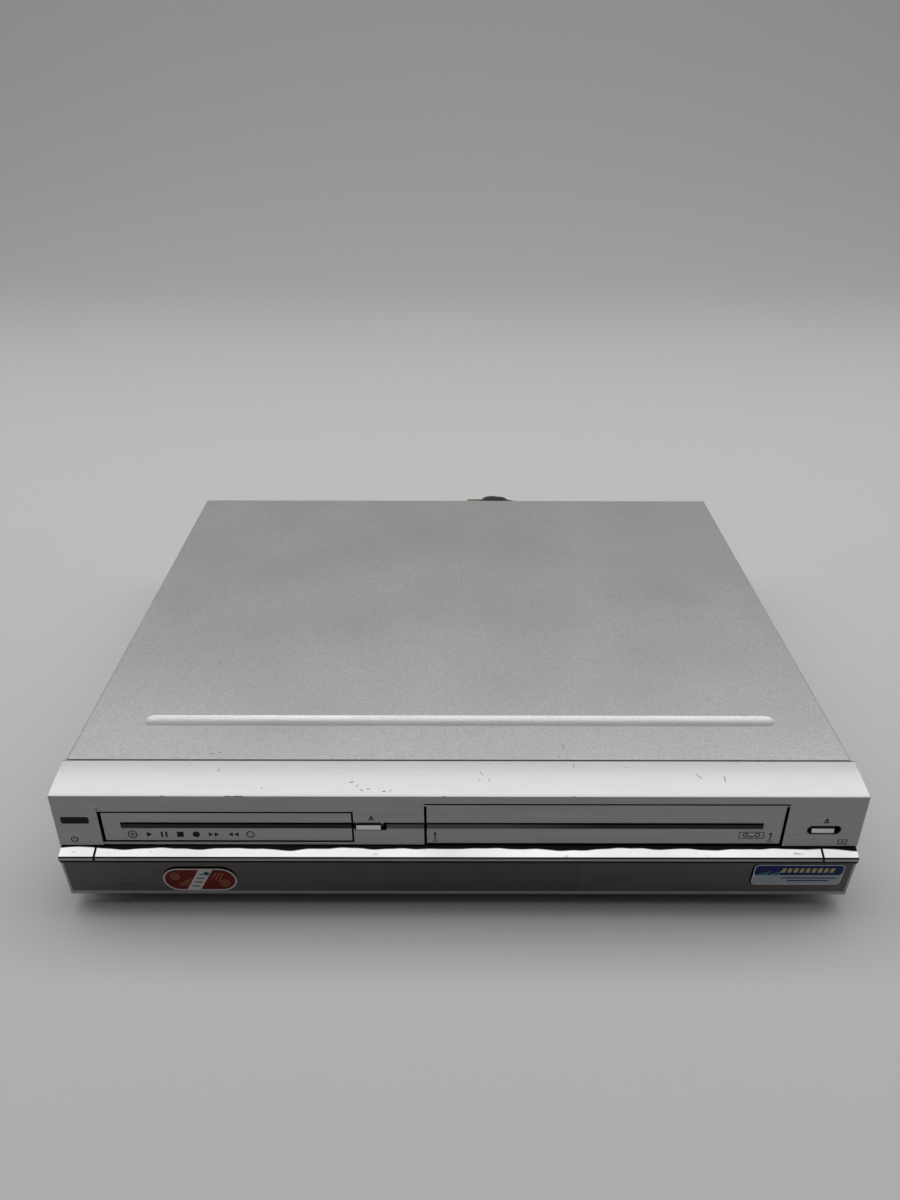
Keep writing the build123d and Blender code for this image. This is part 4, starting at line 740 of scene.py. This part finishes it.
def make_tray_marks(dark):
    """Disc and transport symbols under the groove of the tray."""
    piece = Piece("tray_marks")
    row = on_face(-175, 49.0, INSET) @ Matrix.Scale(1.2, 4)
    piece.prism(ring(1.9, 0.5), row, dark)
    piece.prism(ring(0.6, 0.4), row, dark)
    piece.prism(arrow_head(7.0, 0, 1.8, (1, 0)), row, dark)
    piece.prisms([bar(12.6, -1.6, 13.5, 1.6), bar(14.6, -1.6, 15.5, 1.6)], row, dark)
    piece.prism(bar(19.8, -1.5, 22.8, 1.5), row, dark)
    piece.prism(disc(1.65, (28.4, 0)), row, dark)
    piece.prisms([arrow_head(34.6, 0, 1.5, (1, 0)), arrow_head(37.2, 0, 1.5, (1, 0))], row, dark)
    piece.prisms([arrow_head(44.2, 0, 1.5, (-1, 0)), arrow_head(46.8, 0, 1.5, (-1, 0))], row, dark)
    piece.prism(ring(1.65, 0.5, (52.6, 0)), row, dark)
    piece.done("disc_tray")


def make_flap_marks(dark):
    """A cassette symbol and two small arrows that show where the flap gives way."""
    piece = Piece("flap_marks")
    cassette = on_face(157, 48.9, INSET)
    piece.prisms(frame_lines(13.5, 4.6, 0.4), cassette, dark)
    for x in (-3.2, 3.2):
        piece.prism(ring(1.2, 0.6, (x, 0.1)), cassette, dark)
    piece.prism(bar(-1.3, -1.4, 1.3, -0.7), cassette, dark)
    for x in (-12.8, 167.3):
        place = on_face(x, 47.8, INSET)
        piece.prism(bar(-0.3, -2.6, 0.3, 1.4), place, dark)
        piece.prism(arrow_head(0, 2.0, 1.3), place, dark)
        piece.prism(arc(1.2, 0.45, 200, 340, (0, -2.3)), place, dark)
    piece.done("cassette_flap")


def make_door_marks(faint):
    """Small faint symbols low on the door, at both ends."""
    piece = Piece("door_marks")
    left = on_door(-208, 16.0)
    piece.prism(ring(1.2, 0.3), left, faint)
    piece.prism(bar(3.2, -0.2, 12.0, 0.2), left, faint)
    piece.prisms([bar(x, -0.9, x + 1.4, 0.9) for x in (20.0, 22.4, 24.8, 27.2)], left, faint)
    right = on_door(118, 14.6)
    piece.prisms([bar(x, -0.35, x + 3.0, 0.35) for x in (0, 4, 8, 12, 16)], right, faint)
    piece.prisms(frame_lines(9.0, 3.0, 0.25, (29, 0.4)), right, faint)
    piece.prism(arrow_head(29, 0.4, 0.9, (1, 0)), right, faint)
    piece.prism(ring(1.3, 0.3, (40.0, 0.4)), right, faint)
    piece.done("front_door")


# ------------------------------------------------------------------ stickers on the door
# Each layer rises a little higher above the door, in millimetres, than the one that it covers.


def make_pill_sticker(shadow):
    """A red obround with a pale slanted band, rings and thin lines, over its shadow in the lens."""
    white = ink("sticker_white", (0.62, 0.60, 0.58), 0.35, 0.2)
    red = ink("sticker_red", (0.15, 0.010, 0.010), 0.4, 0.1)
    gold = ink("sticker_gold", (0.36, 0.20, 0.06), 0.4, 0.1)
    blue = ink("sticker_ink", (0.03, 0.07, 0.12), 0.4, 0.1)
    width, height = 40.3, 17.6
    place = on_door(-141.7, 20.3)
    piece = Piece("pill_sticker")
    piece.prism(rounded_box(width, height, height / 2 - 0.01, (0.4, 1.9)), place, shadow, 0.03)
    piece.prism(rounded_box(width, height, height / 2 - 0.01), place, white, 0.06)
    piece.prism(rounded_box(width - 1.8, height - 1.8, height / 2 - 0.91), place, red, 0.075)
    piece.prism(bar(-8.2, -7.9, -0.6, 7.9, 8.4), place, white, 0.085)
    for x, y in ((-13.4, 2.6), (13.4, -2.6)):
        piece.prism(ring(2.3, 0.6, (x, y)), place, gold, 0.085)
        piece.prism(ring(0.8, 0.45, (x, y)), place, gold, 0.085)
    for i in range(3):
        left, right = -12.4 + 1.9 * i, 6.0 + 1.9 * i
        piece.prism(bar(left, -5.0, left + 0.6, -1.0 + 1.2 * i, 3.6), place, gold, 0.085)
        piece.prism(bar(right, 0.4 - 0.9 * i, right + 0.6, 5.2, 3.2), place, gold, 0.085)
    for i in range(4):
        x, y = -5.2 + 1.7 * i, -5.6 + 3.2 * i
        piece.prism(bar(x, y, x + 4.2, y + 0.9, 0.5), place, blue, 0.095)
    piece.prism(disc(1.5, (4.2, 5.0)), place, blue, 0.095)
    piece.done("front_door")


def make_corner_sticker(shadow):
    """A rounded rectangle, navy above and pale grey below, with rays at its left."""
    border = ink("corner_border", (0.62, 0.64, 0.66), 0.35, 0.2)
    navy = ink("corner_navy", (0.010, 0.02, 0.12), 0.4, 0.1)
    grey = ink("corner_grey", (0.38, 0.42, 0.45), 0.35, 0.2)
    cyan = ink("corner_cyan", (0.09, 0.26, 0.36), 0.35, 0.2)
    yellow = ink("corner_yellow", (0.50, 0.43, 0.16), 0.35, 0.2)
    width, height = 49.1, 15.9
    place = on_door(185.05, 24.85)
    piece = Piece("corner_sticker")
    piece.prism(rounded_box(width, height, 2.8, (-1.1, 0.3)), place, shadow, 0.03)
    piece.prism(rounded_box(width, height, 2.8), place, border, 0.06)
    piece.prism(rounded_box(width - 1.1, height - 1.1, 2.3), place, grey, 0.07)
    piece.prism(rounded_box(width - 1.1, 7.6, 2.3, (0, 3.6)), place, navy, 0.08)
    for i in range(6):
        x, tip = -22.4 + 2.1 * i, 1.4 + 0.8 * (i % 3)
        ray = [(x, -0.4), (x + 1.2, -0.4), (x + 2.6, tip), (x + 2.1, tip + 0.2)]
        piece.prism(ray, place, cyan, 0.09)
    for i in range(9):
        x = -9.6 + 3.3 * i
        piece.prism(bar(x, 1.9, x + 2.1, 5.2, 0.5), place, yellow, 0.09)
    for y, reach in ((-2.9, 22.5), (-5.1, 19.0)):
        piece.prism(bar(-reach + 14, y, reach - 1, y + 0.9), place, navy, 0.085)
    piece.done("front_door")


# ------------------------------------------------------------------ controls behind the door
FRONT_JACK_X = (124, 138, 152)
FRONT_JACK_Z = 22.0
KEY_MARK_Z = 29.0


def make_key_marks(pale):
    """Symbols over the keys and the front sockets."""
    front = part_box("control_panel")[0][1] / MM
    piece = Piece("key_marks")
    piece.prism(disc(1.0), on_wall(-84, front, KEY_MARK_Z, TO_FRONT), pale)
    piece.prism(bar(-0.9, -0.9, 0.9, 0.9), on_wall(-64, front, KEY_MARK_Z, TO_FRONT), pale)
    channel = on_wall(84.8, front, KEY_MARK_Z, TO_FRONT)
    piece.prisms([arrow_head(-6, 0, 1.1, (0, -1)), arrow_head(6, 0, 1.1)], channel, pale)
    piece.prism(arrow_head(0, 0, 1.2, (1, 0)), on_wall(106, front, KEY_MARK_Z, TO_FRONT), pale)
    for x in FRONT_JACK_X:
        piece.prism(ring(1.0, 0.3), on_wall(x, front, KEY_MARK_Z, TO_FRONT), pale)
    piece.done("casing")


def make_front_jack_rings(colours):
    """Coloured insulators in the front sockets."""
    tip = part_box("front_av_jacks")[0][1] / MM
    piece = Piece("front_jack_rings")
    for x, colour in zip(FRONT_JACK_X, ("yellow", "white", "red")):
        piece.tube(1.8, 3.3, on_wall(x, tip, FRONT_JACK_Z, TO_FRONT), colours[colour], 0.0, 0.08)
    piece.done("casing")


# ------------------------------------------------------------------ rear
JACK_X = [24 + 18 * i for i in range(5)]
JACK_Z = [28, 41, 54]
JACK_COLOURS = (("red", "white", "yellow"), ("red", "white", "yellow"), ("red", "blue", "green"),
                ("white", "red", "yellow"), ("orange", "red", "white"))
JACK_PAINTS = {"red": (0.45, 0.02, 0.02), "white": (0.65, 0.65, 0.63), "yellow": (0.65, 0.42, 0.03),
               "blue": (0.03, 0.08, 0.40), "green": (0.03, 0.28, 0.07), "orange": (0.55, 0.16, 0.02)}
# Middle across and up, width, height.
REAR_FRAMES = ((33, 41, 32.5, 44), (60, 41, 15.5, 44), (87, 41, 32.5, 44), (178, 47, 46, 26))
REAR_ARROW_Z = 66
SIDE_SCREW_Y = (-99.8, 130.0)
SIDE_SCREW_Z = 20.2
REAR_SCREW_X = (-150, 0, 150)
REAR_SCREW_Z = 73.5


def make_rear_jacks(colours, nickel):
    """A nickel sleeve round each socket, and its coloured insulator and panel ring."""
    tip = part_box("rear_jack_block")[1][1] / MM
    panel = REAR_Y / MM
    reach = tip - panel
    sleeves, rings = Piece("rear_jack_sleeves"), Piece("rear_jack_rings")
    for x, column in zip(JACK_X, JACK_COLOURS):
        for z, colour in zip(JACK_Z, column):
            place = on_wall(x, panel, z, TO_REAR)
            sleeves.tube(4.12, 4.35, place, nickel, 0.05, reach)
            sleeves.tube(3.45, 4.35, place, nickel, reach, reach + 0.12)
            rings.tube(1.8, 3.4, place, colours[colour], reach, reach + 0.05)
            rings.tube(4.9, 6.0, place, colours[colour], 0.0, 0.03)
    sleeves.done("casing", "nickel")
    rings.done("casing")


def make_rear_marks(dark):
    """Thin printed frames round the groups of sockets, and arrows for in and out."""
    panel = REAR_Y / MM
    piece = Piece("rear_marks")
    for x, z, width, height in REAR_FRAMES:
        piece.prisms(frame_lines(width, height, 0.35), on_wall(x, panel, z, TO_REAR), dark, 0.03)
    for x in JACK_X:
        arrow = arrow_head(0, 0, 1.1, (0, -1) if x in JACK_X[:3] else (0, 1))
        piece.prism(arrow, on_wall(x, panel, REAR_ARROW_Z, TO_REAR), dark, 0.03)
    piece.done("casing")


def screw_head(piece, place, height, finish, dark):
    """A low domed head with a cross recess."""
    radius, arm, half = 4.0, 1.9, 0.45
    cross = [(arm, -half), (arm, half), (half, half), (half, arm), (-half, arm), (-half, half),
             (-arm, half), (-arm, -half), (-half, -half), (-half, -arm), (half, -arm), (half, -half)]
    profile = [(radius, 0.0), (radius, height * 0.45), (radius * 0.9, height * 0.78),
               (radius * 0.7, height * 0.95), (radius * 0.58, height)]
    crown = piece.turned(profile, place, finish, closed=False, steps=24)[-1]
    rim, floor = (piece.flat_loop(cross, place, level) for level in (height, height * 0.25))
    edges = []
    for loop in (crown, rim):
        for pair in zip(loop, loop[1:] + loop[:1]):
            edges.append(piece.bm.edges.get(pair) or piece.bm.edges.new(pair))
    for face in bmesh.ops.triangle_fill(piece.bm, use_beauty=True, edges=edges)["geom"]:
        if isinstance(face, bmesh.types.BMFace):
            face.material_index = piece.index(finish)
    piece.skin([rim, floor], dark, False, closed=False)
    piece.bm.faces.new(floor).material_index = piece.index(dark)


def make_screws(steel, dark):
    """Cross-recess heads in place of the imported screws: two on each side and three along the back."""
    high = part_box("case_screws")[1]
    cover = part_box("top_cover")
    piece = Piece("case_screw_heads")
    for side in (-1, 1):
        for y in SIDE_SCREW_Y:
            spot = Vector((side * cover[1][0], y * MM, SIDE_SCREW_Z * MM))
            place = axes_at(spot, UP, Vector((side, 0, 0)))
            screw_head(piece, place, (high[0] - cover[1][0]) / MM, steel, dark)
    for x in REAR_SCREW_X:
        place = axes_at(Vector((x * MM, cover[1][1], REAR_SCREW_Z * MM)), UP, TO_REAR)
        screw_head(piece, place, (high[1] - cover[1][1]) / MM, steel, dark)
    piece.done("casing", "zinc_steel", ("case_screws",))


# ------------------------------------------------------------------ mains cord
CORD_D = 6.0 * MM
EXIT = (-0.085, 0.1982, 0.026)
CORD_ROUTE = [
    EXIT,
    (-0.085, 0.2152, 0.026),
    (-0.0825, 0.234, 0.020),
    (-0.074, 0.251, 0.011),
    (-0.058, 0.265, 0.0046),
    (-0.035, 0.270, 0.003),
    (-0.012, 0.259, 0.003),
    (0.007, 0.238, 0.003),
    (0.039, 0.223, 0.003),
    (0.063, 0.223, 0.003),
]
COIL_CENTRE = (0.069, 0.266)
COIL_R = 0.043
COIL_PITCH = 0.0066
COIL_TURNS = 3
STEPS_PER_TURN = 24
LAYER_LOW = 0.003
TAIL_R = 0.030
PLUG_Z = 0.0211


def coil_points():
    """Two layers that spiral in and out again, then the tail that climbs to the plug."""
    points = []
    turns = 2 * COIL_TURNS
    fit = 1 / math.cos(math.pi / STEPS_PER_TURN)
    for step in range(1, turns * STEPS_PER_TURN + 1):
        turned = step / STEPS_PER_TURN
        radius = (COIL_R - COIL_PITCH * min(turned, turns - turned)) * fit
        angle = 2 * math.pi * (turned - 0.25)
        layer = min(1.0, max(0.0, (turned - COIL_TURNS + 0.25) / 0.5))
        last = max(0.0, turned - turns + 0.25) / 0.25
        z = LAYER_LOW + COIL_PITCH * layer + 0.005 * last ** 2
        points.append((*polar(COIL_CENTRE, radius, angle), z))
    tail_centre = (COIL_CENTRE[0], COIL_CENTRE[1] - COIL_R + TAIL_R)
    start_z = points[-1][2]
    steps, climbing = 12, 9
    for step in range(1, steps + 1):
        angle = -math.pi / 2 + math.pi * step / steps
        climb = min(1.0, step / climbing)
        z = start_z + (PLUG_Z - start_z) * (1 - (1 - climb) ** 2)
        points.append((*polar(tail_centre, TAIL_R, angle), z))
    points.append((tail_centre[0] - 0.006, tail_centre[1] + TAIL_R, PLUG_Z))
    return points


def rounded_section(width, height):
    """A plump oval, squarer than an ellipse."""
    def plump(value, size):
        return math.copysign(abs(value) ** 0.6, value) * size / 2
    return [(plump(x, width), plump(y, height)) for x, y in disc(1.0, steps=ROUND_STEPS)]


def make_plug(rubber, brass):
    """A moulded plug with grip ridges, a ribbed neck and two flat blades with holes."""
    low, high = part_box("mains_plug")
    blade, half_blade, blades_apart, neck = 16.0, 3.2, 12.7, 24.0
    middle = Vector((low[0] + blade * MM, (low[1] + high[1]) / 2, PLUG_Z))
    place = axes_at(middle, UP, Vector((1, 0, 0)))
    body = [(0, 17, 9), (0.6, 19, 11), (4, 21.2, 13.4), (9, 21.8, 14.8)]
    for i in range(5):
        along, wide, tall = 10.2 + 2 * i, 20.2 - 0.5 * i, 14.9 - 0.3 * i
        body += [(along, wide, tall), (along + 1.0, wide + 1.2, tall - 0.2)]
    body += [(21.5, 17.5, 12.6), (23.4, 14, 11.6), (neck, 11, 11)]
    for i in range(5):
        along, rib = neck + 0.6 + 2.1 * i, 10.6 - 0.75 * i
        valley = rib - 1.5
        body += [(along, rib, rib), (along + 0.8, rib, rib),
                 (along + 1.2, valley, valley), (along + 1.7, valley, valley)]
    piece = Piece("moulded_plug")
    loops = [piece.flat_loop(rounded_section(wide, tall), place, along) for along, wide, tall in body]
    piece.skin(loops, rubber, True)
    half_hole = disc(1.6, (-12.0, 0), steps=24)[12::-1]
    upper = [(0.5, 0), (0.5, half_blade), (-14.8, half_blade), (-blade, 1.8), (-blade, 0)] + half_hole
    lower = [(x, -y) for x, y in upper]
    for side in (-1, 1):
        spot = middle + Vector((0, side * blades_apart / 2 * MM, 0))
        plane = Matrix.Translation(spot) @ Matrix.Rotation(math.pi / 2, 4, "X")
        piece.prisms([upper, lower], plane, brass, 0.75, -0.75)
    return piece.done("casing", "cord_rubber", ("mains_plug",))


def make_relief(rubber):
    """The flanged, ribbed sleeve where the cord leaves the rear panel."""
    low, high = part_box("strain_relief")
    place = axes_at(Vector((EXIT[0], low[1], EXIT[2])), UP, TO_REAR)
    profile = [(5.0, 0), (5.0, 4.0), (7.2, 4.0), (7.5, 4.4), (7.5, 6.6), (7.1, 7.0), (5.2, 7.2)]
    for i in range(7):
        start, rib = 8.0 + 2.9 * i, 5.1 - 0.18 * i
        valley = rib - 0.9
        profile += [(rib, start), (rib, start + 1.5), (valley, start + 1.8), (valley, start + 2.6)]
    profile.append((3.6, (high[1] - low[1]) / MM))
    piece = Piece("ribbed_relief")
    piece.turned(profile, place, rubber)
    return piece.done("casing", "cord_rubber", ("strain_relief",))


def make_cord(rubber):
    """The lead from the rear panel, over the table, round its coil and up to the plug."""
    curve = bpy.data.curves.new("mains_lead", "CURVE")
    curve.dimensions = "3D"
    curve.bevel_depth = CORD_D / 2
    curve.bevel_resolution = 5
    curve.resolution_u = 6
    curve.use_fill_caps = True
    route = CORD_ROUTE + coil_points()
    spline = curve.splines.new("NURBS")
    spline.points.add(len(route) - 1)
    for point, place in zip(spline.points, route):
        point.co = (*place, 1.0)
    spline.order_u = 3
    spline.use_endpoint_u = True
    cord = new_object("mains_lead", curve)
    curve.materials.append(rubber.material)
    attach(cord, "casing")
    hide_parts("mains_cord", "cord_coil")


# ------------------------------------------------------------------ stage and light
def make_stage():
    """Floor that curves up into a back wall."""
    half, front, bend, height, radius, steps = 3.0, -2.5, 1.3, 2.6, 0.6, 12
    profile = [(front, 0.0)]
    for step in range(steps + 1):
        angle = math.pi / 2 * step / steps
        profile.append((bend + radius * math.sin(angle), radius - radius * math.cos(angle)))
    profile.append((bend + radius, height))
    mesh = bpy.data.meshes.new("backdrop")
    verts = [(x, y, z) for y, z in profile for x in (-half, half)]
    faces = [(2 * i, 2 * i + 1, 2 * i + 3, 2 * i + 2) for i in range(len(profile) - 1)]
    mesh.from_pydata(verts, [], faces)
    for face in mesh.polygons:
        face.use_smooth = True
    stage = new_object("backdrop", mesh)
    paper = Finish("backdrop_paper", (0.63, 0.63, 0.635), 0.9, Specular_IOR_Level=0.2)
    mesh.materials.append(paper.material)


LAMP_Z = 1.45
# Name, place along Y, size and radiance of the lamps, which look straight down.
LAMPS = (("back_box", 0.44, (4.4, 0.98), 1.92), ("bar_strip", -0.24, (1.9, 0.34), 0.85))
# World strengths: directions between the first two values spread to strengths between the last two.
LIT_BY_Y = (-0.6, 0.6, 0.04, 0.45)
SHOWN_BY_Z = (0.4, 0.8, 0.6, 0.2)


def make_lamps():
    """Rectangular soft boxes, each of which shines evenly with its radiance."""
    for name, y, size, radiance in LAMPS:
        data = bpy.data.lights.new(name, "AREA")
        data.shape = "RECTANGLE"
        data.size, data.size_y = size
        data.energy = radiance * math.pi * size[0] * size[1]
        new_object(name, data).matrix_world = Matrix.Translation((0, y, LAMP_Z))


def make_world():
    """Soft light that comes more from behind; seen or mirrored, the world is pale and darker overhead."""
    world = bpy.data.worlds.new("studio")
    bpy.context.scene.world = world
    world.use_nodes = True
    room = NodeTree(world.node_tree, "Generated")
    lit = room.spread(room.axis("Y"), *LIT_BY_Y)
    shown = room.spread(room.axis("Z"), *SHOWN_BY_Z)
    rays = room.add("ShaderNodeLightPath").outputs
    seen = room.larger(rays["Is Camera Ray"], rays["Is Glossy Ray"])
    seen = room.larger(seen, rays["Is Transmission Ray"])
    strength = room.add("ShaderNodeMix")
    for socket, value in ((0, seen), (2, lit), (3, shown)):
        room.join(value, strength, socket)
    background = room.tree.nodes["Background"]
    background.inputs["Color"].default_value = (1, 1, 1, 1)
    room.join(strength.outputs[0], background, "Strength")


# ------------------------------------------------------------------ everything
def make_details(finishes):
    dark = ink("dark_ink", (0.006, 0.006, 0.006), 0.5, 0.15)
    colours = {name: ink("jack_" + name, colour) for name, colour in JACK_PAINTS.items()}
    make_inlays()
    make_wear(ink("bare_chip", (0.07, 0.07, 0.07), 0.6))
    make_front_marks(dark)
    make_tray_marks(dark)
    make_flap_marks(dark)
    make_door_marks(ink("door_ink", (0.012, 0.011, 0.010), 0.3))
    shadow = ink("sticker_shadow", (0.003, 0.003, 0.003), 0.6, 0.0)
    make_pill_sticker(shadow)
    make_corner_sticker(shadow)
    make_key_marks(colours["white"])
    make_front_jack_rings(colours)
    make_rear_jacks(colours, finishes["nickel"])
    make_rear_marks(dark)
    make_screws(finishes["zinc_steel"], finishes["dark_plastic"])
    brass = speckled("blade_brass", (0.60, 0.56, 0.46), 0.25, 1.0, 0.4 * MM, 0.05, 0.002 * MM)
    plug = make_plug(finishes["cord_rubber"], brass)
    relief = make_relief(finishes["cord_rubber"])
    make_cord(finishes["cord_rubber"])


make_camera()
make_stage()
make_lamps()
make_world()
finishes = slot_finishes()
for part in frame["record"]["subparts"]:
    dress(part["node"], finishes[part["material_slot"]])
dress("cassette_flap", panel_paint("flap_paint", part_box("cassette_flap")[1][2] - FLAP_RIM))
dress("door_frame", door_paint())
dress("open_close_button", lip_paint_with_shade("open_close_lip", OPEN_CLOSE_LIP_TOP))
dress("eject_button", lip_paint_with_shade("eject_lip", EJECT_LIP_TOP))
make_details(finishes)

bpy.context.scene.view_settings.view_transform = "Standard"
